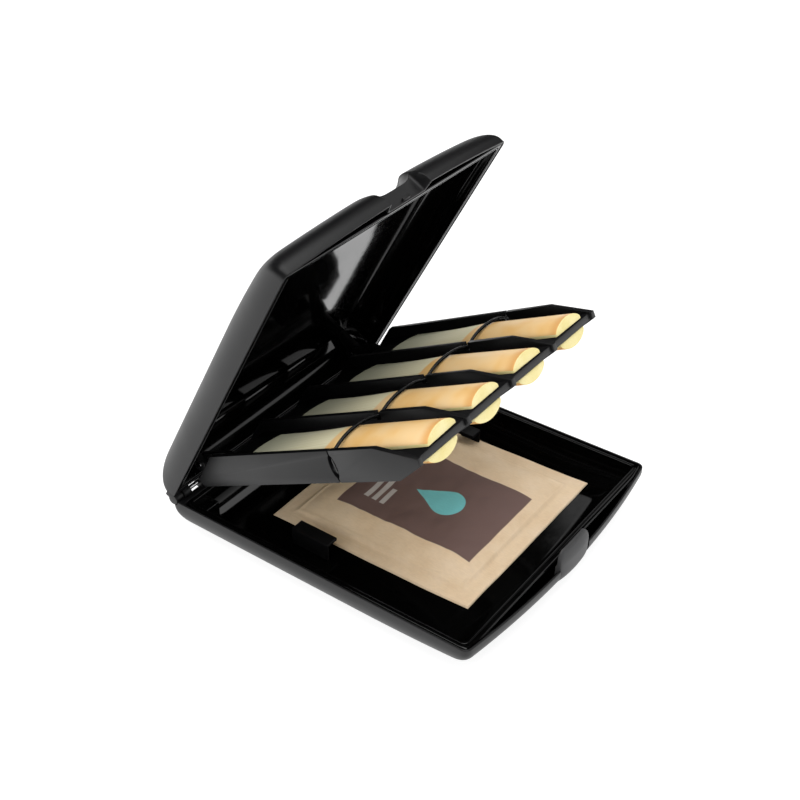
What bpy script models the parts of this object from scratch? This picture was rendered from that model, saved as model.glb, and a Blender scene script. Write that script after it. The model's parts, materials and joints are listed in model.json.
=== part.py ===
"""A folding reed case: two moulded halves on a steel pin, and a swing-out tray that holds eight reeds.

Metres, +Z up. X runs along the hinge, with the latch towards -Y. The origin is on the base's flat
underside, at half the depth of the case. Each half is drawn in its leaf frame, whose origin is on the
hinge axis, with -Y towards the latch and depth measured away from the parting plane. The lid and the
tray stand open at the angles of the rest pose.
"""

import math
from dataclasses import dataclass

import bmesh
import bpy
import numpy as np
from mathutils import Matrix, Vector

# Case
CASE_WIDTH = 0.0992
CASE_DEPTH = 0.111
SHELL_DEPTH = 0.01165
SHELL_WALL = 0.0013
SIDE_FILLET = 0.0096
FRONT_NOSE = 0.012
BACK_FILLET = 0.0085
FRONT_BOW = 0.0041
BACK_OVERHANG = 0.0006
PLAN_CORNER = 0.0023
CORNER_GROWTH_SHARE = 0.6
LEVEL_BEHIND = 0.07
TUCK_SHARE = 0.22
PARTING_GAP = 0.00015
PIECE_GAP = 0.0003
OVERRUN = 0.001
WELD = 0.000001

# Back beam and hinge
BEAM_DEPTH = 0.0045
BEAM_FILLET = 0.004
HINGE_PIN_RADIUS = 0.0007
HINGE_PIN_INSET = 0.0002
HINGE_RUNNING_GAP = 0.0002
KNUCKLE_RADIUS = 0.002
KNUCKLE_ROOT = 0.003
TROUGH_GAP = 0.0006
EAR_RADIUS = 0.0017
EAR_WIDTH = 0.003
KNUCKLE_WIDTH = 0.003
BARE_PIN_WIDTH = 0.0045
LID_KNUCKLE_WIDTH = 0.009
LID_ANGLE = math.radians(61.647)

# Liners
LINER_WALL = 0.0011
LINER_FOOT_OFF_ROOF = 0.00245
LINER_COVE_OFF_ROOF = 0.00065
LINER_SIDE_COVE = 0.0167
LINER_FRONT_COVE = 0.026
LINER_BACK_COVE = 0.008
LINER_SETBACK = 0.0024
LINER_CORNER = 0.0012
LEDGE_DEPTH = 0.0028
LEDGE_THICKNESS = 0.0012
RIM_GROOVE_OFFSET = 0.0005
RIM_GROOVE_WIDTH = 0.0003
RIM_GROOVE_DEPTH = 0.0005
CORNER_BLOCK_WIDTH = 0.0055
CORNER_BLOCK_FRONT = 0.0112

# Clips on the floor
CLIP_WALL = 0.001
CLIP_HEIGHT = 0.0056
CLIP_TONGUE = 0.0038
CLIP_TONGUE_THICKNESS = 0.0012
NEAR_CLIP_X = 0.0345
NEAR_CLIP_BACK = 0.0334
NEAR_CLIP_LENGTH = 0.0136
FAR_CLIP_X = 0.0403
FAR_CLIP_BACK = 0.0446
FAR_CLIP_LENGTH = 0.0071

# Latch
SCOOP_RADIUS = 0.0158
SCOOP_DEPTH = 0.0026
CATCH_LEDGE_WIDTH = 0.006
CATCH_LEDGE_REACH = 0.00035
CATCH_LEDGE_HEIGHT = 0.0008
CATCH_LEDGE_START = 0.0005
THUMB_DEPTH = 0.00715
THUMB_START = 0.107
THUMB_RISE_SHARE = 0.1
THUMB_SIDE_RADIUS = 0.0143
THUMB_BACK_START = 0.096
THUMB_BACK_RADIUS = 0.01
THUMB_HALF_WIDTH = 0.017
THUMB_BACK = 0.085
THUMB_TOP = 0.03
THUMB_ROOM = 0.0004
LATCH_WIDTH = 0.0174
LATCH_PROUD = 0.0017
LATCH_RISE = 0.0047
LATCH_DROP = 0.0063
LATCH_CROWN = 0.0007
LATCH_ROUND = 0.0011
LATCH_RELIEF = 0.0004
LATCH_PIN_RADIUS = 0.0005
LATCH_PIN_INSET = 0.0012
LATCH_PIN_DROP = 0.003
LATCH_PIN_GAP = 0.0002
LATCH_PIN_SEAT = 0.0027
LATCH_CHEEK = 0.003
POCKET_DEPTH = 0.0032
POCKET_WALL = 0.0013
SPRING_WIRE = 0.0003
SPRING_RADIUS = 0.00105
SPRING_PITCH = 0.00075
SPRING_TURNS = 3
SPRING_BACK_LEG = 0.0014
SPRING_FRONT_LEG = 0.0007

# Tray
TRAY_SIDE_ROOM = 0.0051
TRAY_WALL = 0.0016
TRAY_WALL_HEIGHT = 0.0097
TRAY_FLOOR = 0.0019
TRAY_FRONT = 0.0946
TRAY_FLOOR_FRONT = 0.0938
TRAY_FLOOR_BACK = 0.0125
TRAY_WALL_TOE = 0.0021
TRAY_TOP_FRONT = 0.0808
TRAY_TOP_BACK = 0.0141
TRAY_BOTTOM_FRONT = 0.0858
TRAY_BOTTOM_BACK = 0.0055
TRAY_TIP_BACK = 0.0041
TRAY_TIP_DROP = 0.0025
TRAY_CELLS = 4
TRAY_ANGLE = math.radians(26.607)
PIVOT_Y = 0.008
PIVOT_Z = 0.00197
PIVOT_PIN_RADIUS = 0.001
PIVOT_RUNNING_GAP = 0.0002
PIVOT_EAR_RADIUS = 0.0024
PIVOT_EAR_WIDTH = 0.0019
PIVOT_EAR_INSET = 0.0091
PIVOT_BOSS_WIDTH = 0.0018
PIVOT_PIN_STANDS_OUT = 0.0002

# Elastic
CORD_RADIUS = 0.0005
CORD_FROM_PIVOT = 0.0637
CORD_AT_WALL = 0.0032
CORD_AT_SLOT = 0.0026
CORD_ARCH_SHARE = 0.85
CORD_BEND = 0.0012
SLOT_HALF_WIDTH = 0.00125
SLOT_HALF_HEIGHT = 0.0036
SLIT_WIDTH = 0.0005

# Reeds
REED_LENGTH = 0.0705
REED_HEEL_WIDTH = 0.013
REED_TIP_WIDTH = 0.016
REED_CROWN = 0.0034
REED_SIDE = 0.0019
REED_TIP = 0.0003
REED_TIP_SAG = 0.0026
REED_BARK = 0.034
REED_HEEL_FROM_FRONT = 0.0005

# Sachet
PACK_WIDTH = 0.0685
PACK_END_ROOM = 0.0395
PACK_THICKNESS = 0.0047
PACK_SEAL = 0.005
PACK_SEAL_THICKNESS = 0.0009
PACK_SWELL = 0.016
PACK_X = 0.0049
PACK_OFF_MIDDLE = 0.0008
PACK_TURN = math.radians(3)

# Facets
CIRCLE = 24
LARGE_CIRCLE = 96
FRONT_STEPS = 7
CORNER_STEPS = 3
TUCK_STEPS = 5
FILLET_STEPS = 6
PACK_CELLS = 22
THUMB_CELLS = 12
CORD_STEPS = 7
SPRING_STEPS = 10
REED_STEPS = 11
REED_ACROSS = 8
BARK_STEPS = 2
ROUND_STEPS = 5

# Worked out
HALF_WIDTH = CASE_WIDTH / 2
HINGE_HEIGHT = SHELL_DEPTH
FRONT_CORNER = CASE_DEPTH - BACK_OVERHANG - FRONT_BOW
FRONT_MIDDLE = FRONT_CORNER + FRONT_BOW
LINER_FRONT = FRONT_CORNER - LINER_SETBACK
LINER_FOOT = SHELL_DEPTH - LINER_FOOT_OFF_ROOF
LINER_COVE_HEIGHT = SHELL_DEPTH - LINER_COVE_OFF_ROOF
THUMB_FLOOR = SHELL_DEPTH - THUMB_DEPTH
TRAY_WIDTH = CASE_WIDTH - 2 * TRAY_SIDE_ROOM
PIVOT_EAR_X = TRAY_WIDTH / 2 - PIVOT_EAR_INSET
HINGE_FROM_ORIGIN = CASE_DEPTH / 2 - BACK_OVERHANG
EAR_INNER = HALF_WIDTH - EAR_WIDTH
KNUCKLE_OUTER = EAR_INNER - PIECE_GAP
KNUCKLE_INNER = KNUCKLE_OUTER - KNUCKLE_WIDTH
LID_KNUCKLE_OUTER = KNUCKLE_INNER - BARE_PIN_WIDTH
LID_KNUCKLE_INNER = LID_KNUCKLE_OUTER - LID_KNUCKLE_WIDTH
MIDDLE_KNUCKLE_OUTER = LID_KNUCKLE_INNER - PIECE_GAP
TROUGH_RADIUS = KNUCKLE_RADIUS + TROUGH_GAP
PIVOT_BOSS_X = PIVOT_EAR_X + PIVOT_EAR_WIDTH + PIECE_GAP
LATCH_PIN_Y = FRONT_MIDDLE - LATCH_PIN_INSET
SCOOP_Y = FRONT_MIDDLE - SCOOP_DEPTH + SCOOP_RADIUS
POCKET_BACK = FRONT_MIDDLE - POCKET_DEPTH
POCKET_HALF_WIDTH = LATCH_WIDTH / 2 + PIECE_GAP
CELL_WIDTH = (TRAY_WIDTH - TRAY_WALL) / TRAY_CELLS
PACK_LENGTH = CASE_DEPTH - PACK_END_ROOM
PACK_Y = CASE_DEPTH / 2 + PACK_OFF_MIDDLE

# The reeds' places, as shares: heel from the middle of its cell, and tip from the heel, of a cell's width
VAMP_CROWN_POWER = 1.2
VAMP_SIDE_POWER = 1.6
VAMP_STATION_POWER = 0.9
TIP_SAG_POWER = 8
LATCH_CROWN_POWER = 4
CORD_CORNER_SHARE = 0.25
UPPER_REED_SHARES = [(0.062, -0.11), (-0.008, -0.026), (-0.05, 0.114), (-0.005, 0.103)]
LOWER_REED_SHARES = [(-0.016, 0.02), (-0.055, -0.03), (-0.03, 0.04), (-0.004, 0.015)]

# Directions of a half: the base hollows downwards, the lid upwards
DOWN = -1
UP = 1


def clear_scene():
    """Remove every object that a new file holds."""
    for thing in list(bpy.data.objects):
        bpy.data.objects.remove(thing, do_unlink=True)


def collection(name):
    """A collection linked to the scene."""
    made = bpy.data.collections.new(name)
    bpy.context.scene.collection.children.link(made)
    return made


def material(name, color, roughness, metallic):
    """A Principled material in one colour."""
    made = bpy.data.materials.new(name)
    made.use_nodes = True
    shader = made.node_tree.nodes["Principled BSDF"]
    shader.inputs["Base Color"].default_value = (*color, 1.0)
    shader.inputs["Roughness"].default_value = roughness
    shader.inputs["Metallic"].default_value = metallic
    made.diffuse_color = (*color, 1.0)
    return made


def empty(name, parent, location, turn):
    """An axis: a joint's place, turned about X."""
    made = bpy.data.objects.new(name, None)
    PARTS.objects.link(made)
    made.parent = parent
    made.location = location
    made.rotation_euler = (turn, 0, 0)
    return made


def from_bmesh(name, shape, parent):
    """Turn a bmesh into a part under its axis, with its faces pointing out."""
    bmesh.ops.recalc_face_normals(shape, faces=shape.faces)
    mesh = bpy.data.meshes.new(name)
    shape.to_mesh(mesh)
    shape.free()
    made = bpy.data.objects.new(name, mesh)
    PARTS.objects.link(made)
    made.parent = parent
    return made


def finish(part, surface):
    """Give a part its material and smooth shading between its sharp edges."""
    part.data.materials.clear()
    part.data.materials.append(surface)
    part.data.shade_smooth()
    part.data.set_sharp_from_angle(angle=math.radians(30))
    return part


def change(part, operation, *tools):
    """Cut, join or intersect a part with tools, which leave the parts' collection."""
    for tool in tools:
        PARTS.objects.unlink(tool)
        TOOLS.objects.link(tool)
        tool.hide_render = True
        tool.display_type = "WIRE"
        step = part.modifiers.new(tool.name, "BOOLEAN")
        step.operation = operation
        step.solver = "EXACT"
        step.object = tool
    return part


def box(name, parent, low, high):
    """A box between two corners."""
    shape = bmesh.new()
    size = Vector(high) - Vector(low)
    middle = (Vector(high) + Vector(low)) / 2
    place = Matrix.Translation(middle) @ Matrix.Diagonal((*size, 1.0))
    bmesh.ops.create_cube(shape, size=1.0, matrix=place)
    return from_bmesh(name, shape, parent)


def rod(name, parent, radius, start, end, facets):
    """A cylinder from one point to another."""
    axis = Vector(end) - Vector(start)
    turn = axis.to_track_quat("Z", "Y").to_matrix().to_4x4()
    place = Matrix.Translation((Vector(start) + Vector(end)) / 2) @ turn
    shape = bmesh.new()
    bmesh.ops.create_cone(
        shape, cap_ends=True, segments=facets, radius1=radius, radius2=radius, depth=axis.length, matrix=place
    )
    return from_bmesh(name, shape, parent)


def as_mesh(curve_object):
    """Replace a curve with its mesh, its caps welded on."""
    graph = bpy.context.evaluated_depsgraph_get()
    mesh = bpy.data.meshes.new_from_object(curve_object.evaluated_get(graph))
    shape = bmesh.new()
    shape.from_mesh(mesh)
    bmesh.ops.remove_doubles(shape, verts=shape.verts, dist=WELD)
    name = curve_object.name
    parent = curve_object.parent
    bpy.data.objects.remove(curve_object, do_unlink=True)
    bpy.data.meshes.remove(mesh)
    return from_bmesh(name, shape, parent)


def extruded(name, parent, outlines, thickness, place):
    """Flat outlines, filled, thickened both ways and put in place."""
    curve = bpy.data.curves.new(name, "CURVE")
    curve.dimensions = "2D"
    curve.fill_mode = "BOTH"
    curve.extrude = thickness / 2
    for outline in outlines:
        spline = curve.splines.new("POLY")
        spline.points.add(len(outline) - 1)
        spline.use_cyclic_u = True
        for point, (across, along) in zip(spline.points, outline):
            point.co = (across, along, 0, 1)
    flat = bpy.data.objects.new(name, curve)
    PARTS.objects.link(flat)
    flat.parent = parent
    bpy.context.view_layer.update()
    made = as_mesh(flat)
    made.data.transform(place)
    return made


def arc(center, radius, start, end, steps):
    """Points round a centre, between two angles, both ends included."""
    turns = np.linspace(start, end, steps + 1)
    return [(center[0] + radius * math.cos(t), center[1] + radius * math.sin(t)) for t in turns]


def side_view(x):
    """Stand an outline of (y, z) points up across X, with its middle at x."""
    axes = Matrix(((0, 0, 1), (1, 0, 0), (0, 1, 0))).to_4x4()
    return Matrix.Translation((x, 0, 0)) @ axes


def front_view(y):
    """Stand an outline of (x, z) points up across Y, with its middle at y."""
    axes = Matrix(((1, 0, 0), (0, 0, -1), (0, 1, 0))).to_4x4()
    return Matrix.Translation((0, y, 0)) @ axes


def tuck(y):
    """How much of its depth a form keeps at y: all of it behind, and less towards the front."""
    run = np.clip((-y - LEVEL_BEHIND) / (FRONT_MIDDLE - LEVEL_BEHIND), 0, 1)
    return 1 - TUCK_SHARE * run**2


@dataclass(frozen=True)
class Bowl:
    """A shallow form with a flat floor, coved sides and a bowed front, open at the parting plane."""

    half_width: float
    back: float
    front: float
    bow: float
    corner: float
    straight: float
    curve: float
    side_inset: float
    front_inset: float
    back_inset: float

    def ring(self, depth):
        """The closed outline at one depth: the right half from the front back, then the left half."""
        rise = min(max((depth - self.straight) / self.curve, 0), 1)
        drawn_in = 1 - math.sqrt(1 - rise * rise)
        half = self.half_width - self.side_inset * drawn_in
        back = self.back - self.back_inset * drawn_in
        front = self.front - self.front_inset * drawn_in
        corner = self.corner + CORNER_GROWTH_SHARE * self.side_inset * drawn_in

        def front_edge(x):
            return np.array([x, -front - self.bow * (1 - (x / half) ** 2)])

        def bend(first, middle, last):
            steps = np.linspace(0, 1, CORNER_STEPS + 1)[:-1]
            return [(1 - t) ** 2 * first + 2 * t * (1 - t) * middle + t * t * last for t in steps]

        def run(first, last, count):
            return [first + (last - first) * t for t in np.linspace(0, 1, count + 1)[:-1]]

        tip = front_edge(half)
        side_front = tip + np.array([0, corner])
        side_back = np.array([half, back - corner])
        level = np.array([half, -LEVEL_BEHIND])
        back_end = np.array([half - corner, back])
        bowed_steps = FRONT_STEPS if self.bow > 0 else 0
        share = (half - corner) / (2 * bowed_steps + 1)
        points = [front_edge(share * (2 * k + 1)) for k in range(bowed_steps)]
        points += bend(front_edge(half - corner), tip, side_front)
        points += run(side_front, level, TUCK_STEPS)
        points += run(level, side_back, 1)
        points += bend(side_back, np.array([half, back]), back_end)
        points.append(back_end)
        right = np.array(points)
        left = right[::-1] * np.array([-1, 1])
        return np.vstack([right, left])

    def solid(self, name, parent, hollow_towards, top, bottom):
        """The closed form between two depths, with its floor tucked up towards the front."""
        full = self.straight + self.curve
        quarter = math.pi / 2
        rises = [math.sin(quarter * k / FILLET_STEPS) for k in range(FILLET_STEPS)]
        turns = [self.straight + self.curve * rise for rise in rises]
        depths = [top] + [depth for depth in turns if top < depth < bottom] + [min(bottom, full)]
        if bottom > full:
            depths.append(bottom)
        shape = bmesh.new()
        rings = []
        for depth in depths:
            flat = self.ring(depth)
            height = hollow_towards * depth * tuck(flat[:, 1])
            rings.append([shape.verts.new((x, y, z)) for (x, y), z in zip(flat, height)])
        count = len(rings[0])
        for upper, lower in zip(rings, rings[1:]):
            for k in range(count):
                after = (k + 1) % count
                shape.faces.new((upper[k], upper[after], lower[after], lower[k]))
        for ring in (rings[0], rings[-1]):
            for k in range(count // 2 - 1):
                shape.faces.new((ring[k], ring[k + 1], ring[count - 2 - k], ring[count - 1 - k]))
        return from_bmesh(name, shape, parent)


def inside(outer, offset, back, back_inset):
    """The bowl that lies a given distance inside another, with its own back."""
    return Bowl(
        half_width=outer.half_width - offset,
        back=back,
        front=outer.front - offset,
        bow=outer.bow,
        corner=max(outer.corner - offset, PIECE_GAP),
        straight=outer.straight,
        curve=outer.curve - offset,
        side_inset=outer.side_inset - offset,
        front_inset=outer.front_inset - offset,
        back_inset=back_inset,
    )


SHELL = Bowl(
    half_width=HALF_WIDTH,
    back=BACK_OVERHANG,
    front=FRONT_CORNER,
    bow=FRONT_BOW,
    corner=PLAN_CORNER,
    straight=SHELL_DEPTH - SIDE_FILLET,
    curve=SIDE_FILLET,
    side_inset=SIDE_FILLET,
    front_inset=FRONT_NOSE,
    back_inset=BACK_FILLET,
)
HOLLOW = inside(SHELL, SHELL_WALL, BACK_OVERHANG - BEAM_DEPTH, BEAM_FILLET)
LINER_SEAT = inside(HOLLOW, PIECE_GAP, HOLLOW.back - PIECE_GAP, BEAM_FILLET)
LINER_FACE = Bowl(
    half_width=LINER_SEAT.half_width - LINER_WALL,
    back=LINER_SEAT.back - LINER_WALL,
    front=LINER_FRONT,
    bow=0,
    corner=LINER_CORNER,
    straight=LINER_SEAT.straight,
    curve=LINER_COVE_HEIGHT,
    side_inset=LINER_SIDE_COVE,
    front_inset=LINER_FRONT_COVE,
    back_inset=LINER_BACK_COVE,
)
FLOOR_DEPTH = SHELL_DEPTH - SHELL_WALL


def both(function):
    """The same on the left and on the right."""
    return [function(DOWN), function(UP)]


def hinge_barrel(name, parent, radius, inner, outer, towards):
    """A knuckle round the pin between two places along it, with its root in the back beam."""
    barrel = rod(name, parent, radius, (inner, 0, 0), (outer, 0, 0), CIRCLE)
    near = towards * radius / 4
    far = towards * KNUCKLE_ROOT
    root = box(
        name + "_root",
        parent,
        (min(inner, outer), -radius, min(near, far)),
        (max(inner, outer), BACK_OVERHANG, max(near, far)),
    )
    return change(barrel, "UNION", root)


def shell(name, parent, towards, kept):
    """One moulded half: the outer form less its hollow, which goes round what is kept inside it."""
    body = SHELL.solid(name, parent, towards, PARTING_GAP, SHELL_DEPTH)
    hollow = HOLLOW.solid(name + "_hollow", parent, towards, -OVERRUN, FLOOR_DEPTH)
    change(hollow, "DIFFERENCE", *kept)
    return change(body, "DIFFERENCE", hollow)


def hinge_bore(name, parent):
    """The bore for the pin, right through the case."""
    end = HALF_WIDTH + OVERRUN
    return rod(name, parent, HINGE_PIN_RADIUS + HINGE_RUNNING_GAP, (-end, 0, 0), (end, 0, 0), CIRCLE)


def base_shell(parent):
    """The lower half, with its knuckles, the latch's pocket and the two clips on its floor."""
    cheek = POCKET_HALF_WIDTH + LATCH_CHEEK
    pocket_floor = LATCH_DROP + PIECE_GAP
    block = box(
        "latch_block",
        parent,
        (-cheek, -FRONT_MIDDLE - OVERRUN, -pocket_floor - POCKET_WALL),
        (cheek, -POCKET_BACK + POCKET_WALL, OVERRUN + OVERRUN),
    )
    body = shell("base_shell", parent, DOWN, [block])
    pocket = box(
        "latch_pocket",
        parent,
        (-POCKET_HALF_WIDTH, -FRONT_MIDDLE - OVERRUN, -pocket_floor),
        (POCKET_HALF_WIDTH, -POCKET_BACK, OVERRUN),
    )
    seat = POCKET_HALF_WIDTH + LATCH_PIN_SEAT
    pin_line = (-LATCH_PIN_Y, -LATCH_PIN_DROP)
    pin_seat = rod(
        "latch_pin_seat",
        parent,
        LATCH_PIN_RADIUS + LATCH_PIN_GAP,
        (-seat, *pin_line),
        (seat, *pin_line),
        CIRCLE,
    )
    trough_end = EAR_INNER - PIECE_GAP / 2
    trough = rod("base_trough", parent, TROUGH_RADIUS, (-trough_end, 0, 0), (trough_end, 0, 0), CIRCLE)
    ends = HALF_WIDTH + OVERRUN
    ear_seat = rod("ear_seat", parent, EAR_RADIUS + PIECE_GAP, (-ends, 0, 0), (ends, 0, 0), CIRCLE)
    change(body, "DIFFERENCE", pocket, pin_seat, trough, ear_seat)
    middle = hinge_barrel(
        "middle_knuckle", parent, KNUCKLE_RADIUS, -MIDDLE_KNUCKLE_OUTER, MIDDLE_KNUCKLE_OUTER, DOWN
    )
    outers = both(
        lambda side: hinge_barrel(
            f"outer_knuckle_{side}", parent, KNUCKLE_RADIUS, side * KNUCKLE_INNER, side * KNUCKLE_OUTER, DOWN
        )
    )
    change(body, "UNION", middle, *outers, *clips(parent))
    change(body, "DIFFERENCE", hinge_bore("base_bore", parent))
    return body


def clips(parent):
    """The two hooks that keep a sachet on the floor: an upright with a tongue towards the middle."""
    made = []
    root = -FLOOR_DEPTH - SHELL_WALL / 2
    top = CLIP_HEIGHT - FLOOR_DEPTH
    under = top - CLIP_TONGUE_THICKNESS
    places = [
        (-NEAR_CLIP_X, 1, NEAR_CLIP_BACK, NEAR_CLIP_LENGTH),
        (FAR_CLIP_X, -1, FAR_CLIP_BACK, FAR_CLIP_LENGTH),
    ]
    for x, inward, back, length in places:
        stem = x + inward * CLIP_WALL
        tongue = stem + inward * CLIP_TONGUE
        hook = [(x, root), (stem, root), (stem, under), (tongue, under), (tongue, top), (x, top)]
        place = front_view(-back - length / 2)
        made.append(extruded(f"clip_{inward}", parent, [hook], length, place))
    return made


def pivot_boss(parent, side):
    """An upright in the lid that carries the tray's pivot, rounded round the pin."""
    top = FLOOR_DEPTH + SHELL_WALL / 2
    around = arc((-PIVOT_Y, PIVOT_Z), PIVOT_EAR_RADIUS, -math.pi, 0, CIRCLE // 2)
    outline = [(-PIVOT_Y - PIVOT_EAR_RADIUS, top), *around, (-PIVOT_Y + PIVOT_EAR_RADIUS, top)]
    middle = side * (PIVOT_BOSS_X + PIVOT_BOSS_WIDTH / 2)
    return extruded(f"pivot_boss_{side}", parent, [outline], PIVOT_BOSS_WIDTH, side_view(middle))


def thumb_dish(name, parent, lowered):
    """The dish for the thumb over the latch, as a block above its floor, lowered by a distance.

    The floor is a parabola across X and rises gently backwards, then along a second parabola.
    """
    across = np.linspace(-THUMB_HALF_WIDTH, THUMB_HALF_WIDTH, THUMB_CELLS + 1)
    along = np.linspace(-FRONT_MIDDLE - OVERRUN, -THUMB_BACK, THUMB_CELLS + 1)
    climb = np.maximum(along + THUMB_BACK_START, 0)
    spine = THUMB_RISE_SHARE * (along + THUMB_START) + climb**2 / (2 * THUMB_BACK_RADIUS)
    sides = across**2 / (2 * THUMB_SIDE_RADIUS)
    floor = THUMB_FLOOR - lowered + spine[:, None] + sides[None, :]
    shape = bmesh.new()
    low = [[shape.verts.new((x, y, z)) for x, z in zip(across, row)] for y, row in zip(along, floor)]
    high = [[shape.verts.new((vert.co.x, vert.co.y, THUMB_TOP)) for vert in row] for row in low]
    for sheet in (low, high):
        for near, far in zip(sheet, sheet[1:]):
            for k in range(THUMB_CELLS):
                shape.faces.new((near[k], near[k + 1], far[k + 1], far[k]))

    def border(sheet):
        right = [row[-1] for row in sheet[1:-1]]
        left = [row[0] for row in sheet[1:-1]]
        return sheet[0] + right + sheet[-1][::-1] + left[::-1]

    bottom = border(low)
    top = border(high)
    for k in range(len(bottom)):
        before = k - 1
        shape.faces.new((bottom[before], bottom[k], top[k], top[before]))
    return from_bmesh(name, shape, parent)


def lid_shell(parent):
    """The upper half, with its ears and knuckles, the scoop for the latch and the tray's bosses."""
    wall_behind = rod(
        "scoop_wall",
        parent,
        SCOOP_RADIUS + SHELL_WALL,
        (0, -SCOOP_Y, -OVERRUN - OVERRUN),
        (0, -SCOOP_Y, SHELL_DEPTH),
        LARGE_CIRCLE,
    )
    wall_under = thumb_dish("thumb_wall", parent, SHELL_WALL)
    body = shell("lid_shell", parent, UP, [wall_behind, wall_under])
    scoop = rod(
        "scoop",
        parent,
        SCOOP_RADIUS,
        (0, -SCOOP_Y, -OVERRUN),
        (0, -SCOOP_Y, SHELL_DEPTH + OVERRUN),
        LARGE_CIRCLE,
    )
    trough_end = EAR_INNER - PIECE_GAP
    trough = rod("lid_trough", parent, TROUGH_RADIUS, (-trough_end, 0, 0), (trough_end, 0, 0), CIRCLE)
    change(body, "DIFFERENCE", scoop, thumb_dish("thumb_dish", parent, 0), trough)
    scoop_back = SCOOP_Y - SCOOP_RADIUS
    ledge = box(
        "catch_ledge",
        parent,
        (-CATCH_LEDGE_WIDTH / 2, -scoop_back - CATCH_LEDGE_REACH, CATCH_LEDGE_START),
        (CATCH_LEDGE_WIDTH / 2, -scoop_back + SHELL_WALL / 2, CATCH_LEDGE_START + CATCH_LEDGE_HEIGHT),
    )
    ears = both(
        lambda side: hinge_barrel(f"ear_{side}", parent, EAR_RADIUS, side * EAR_INNER, side * HALF_WIDTH, UP)
    )
    knuckles = both(
        lambda side: hinge_barrel(
            f"lid_knuckle_{side}",
            parent,
            KNUCKLE_RADIUS,
            side * LID_KNUCKLE_INNER,
            side * LID_KNUCKLE_OUTER,
            UP,
        )
    )
    bosses = both(lambda side: pivot_boss(parent, side))
    change(body, "UNION", ledge, *ears, *knuckles, *bosses)
    reach = PIVOT_BOSS_X + PIVOT_BOSS_WIDTH + OVERRUN
    pivot_bore = rod(
        "boss_bore",
        parent,
        PIVOT_PIN_RADIUS + PIVOT_RUNNING_GAP,
        (-reach, -PIVOT_Y, PIVOT_Z),
        (reach, -PIVOT_Y, PIVOT_Z),
        CIRCLE,
    )
    change(body, "DIFFERENCE", pivot_bore, hinge_bore("lid_bore", parent))
    return body


def liner(name, parent, towards, kept, cleared):
    """A glossy band inside a half: rim, groove, front ledge and coved wall down to a foot."""
    body = LINER_SEAT.solid(name, parent, towards, PIECE_GAP, LINER_FOOT)
    wide = CASE_WIDTH
    rim = towards * (PIECE_GAP - OVERRUN)
    ledge = towards * (PIECE_GAP + LEDGE_THICKNESS)
    deep = towards * (SHELL_DEPTH + OVERRUN)
    band = box(
        name + "_band",
        parent,
        (-wide, -LINER_FRONT - LINER_WALL, min(rim, deep)),
        (wide, OVERRUN, max(rim, deep)),
    )
    shelf = box(
        name + "_shelf",
        parent,
        (-wide, -LINER_FRONT - LEDGE_DEPTH, min(rim, ledge)),
        (wide, -LINER_FRONT, max(rim, ledge)),
    )
    change(band, "UNION", shelf)
    change(body, "INTERSECT", band)
    face = LINER_FACE.solid(name + "_face", parent, towards, -OVERRUN, LINER_FOOT + OVERRUN)
    if kept:
        change(face, "DIFFERENCE", *kept)
    change(body, "DIFFERENCE", face, rim_groove(name, parent, towards), *cleared)
    return body


def rim_groove(name, parent, towards):
    """A fine groove that follows the rim, between two offsets from the liner's face."""

    def prism(suffix, offset, floor):
        outline = Bowl(
            half_width=LINER_FACE.half_width + offset,
            back=LINER_FACE.back + offset,
            front=LINER_FACE.front + offset,
            bow=0,
            corner=LINER_FACE.corner + offset,
            straight=SHELL_DEPTH,
            curve=SHELL_DEPTH,
            side_inset=0,
            front_inset=0,
            back_inset=0,
        )
        return outline.solid(name + suffix, parent, towards, -OVERRUN, floor)

    floor = PIECE_GAP + RIM_GROOVE_DEPTH
    outside = prism("_groove", RIM_GROOVE_OFFSET + RIM_GROOVE_WIDTH, floor)
    return change(outside, "DIFFERENCE", prism("_groove_core", RIM_GROOVE_OFFSET, floor + OVERRUN))


def base_liner(parent):
    """The lower liner, with its corner blocks at the hinge and room for the latch's pocket."""
    outer = LINER_SEAT.half_width + OVERRUN
    inner = LINER_FACE.half_width - CORNER_BLOCK_WIDTH
    blocks = both(
        lambda side: box(
            f"corner_block_{side}",
            parent,
            (min(side * inner, side * outer), -CORNER_BLOCK_FRONT, -SHELL_DEPTH - OVERRUN),
            (max(side * inner, side * outer), LINER_FACE.back + OVERRUN, -PIECE_GAP - PIECE_GAP),
        )
    )
    cheek = POCKET_HALF_WIDTH + LATCH_CHEEK + PIECE_GAP
    room = box(
        "latch_room",
        parent,
        (-cheek, -FRONT_MIDDLE, -SHELL_DEPTH),
        (cheek, -POCKET_BACK + POCKET_WALL + PIECE_GAP, OVERRUN),
    )
    return liner("base_liner", parent, DOWN, blocks, [room])


def lid_liner(parent):
    """The upper liner, which makes room for the scoop's walls and for the tray's bosses."""
    scoop_room = rod(
        "scoop_room",
        parent,
        SCOOP_RADIUS + SHELL_WALL + PIECE_GAP,
        (0, -SCOOP_Y, -OVERRUN),
        (0, -SCOOP_Y, SHELL_DEPTH),
        LARGE_CIRCLE,
    )
    thumb_room = thumb_dish("thumb_room", parent, SHELL_WALL + THUMB_ROOM)
    near = PIVOT_BOSS_X - PIECE_GAP
    far = PIVOT_BOSS_X + PIVOT_BOSS_WIDTH + PIECE_GAP
    reach = PIVOT_EAR_RADIUS + PIECE_GAP
    rooms = both(
        lambda side: box(
            f"boss_room_{side}",
            parent,
            (min(side * near, side * far), -PIVOT_Y - reach, -OVERRUN),
            (max(side * near, side * far), -PIVOT_Y + reach, SHELL_DEPTH),
        )
    )
    return liner("lid_liner", parent, UP, [], [scoop_room, thumb_room, *rooms])


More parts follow.
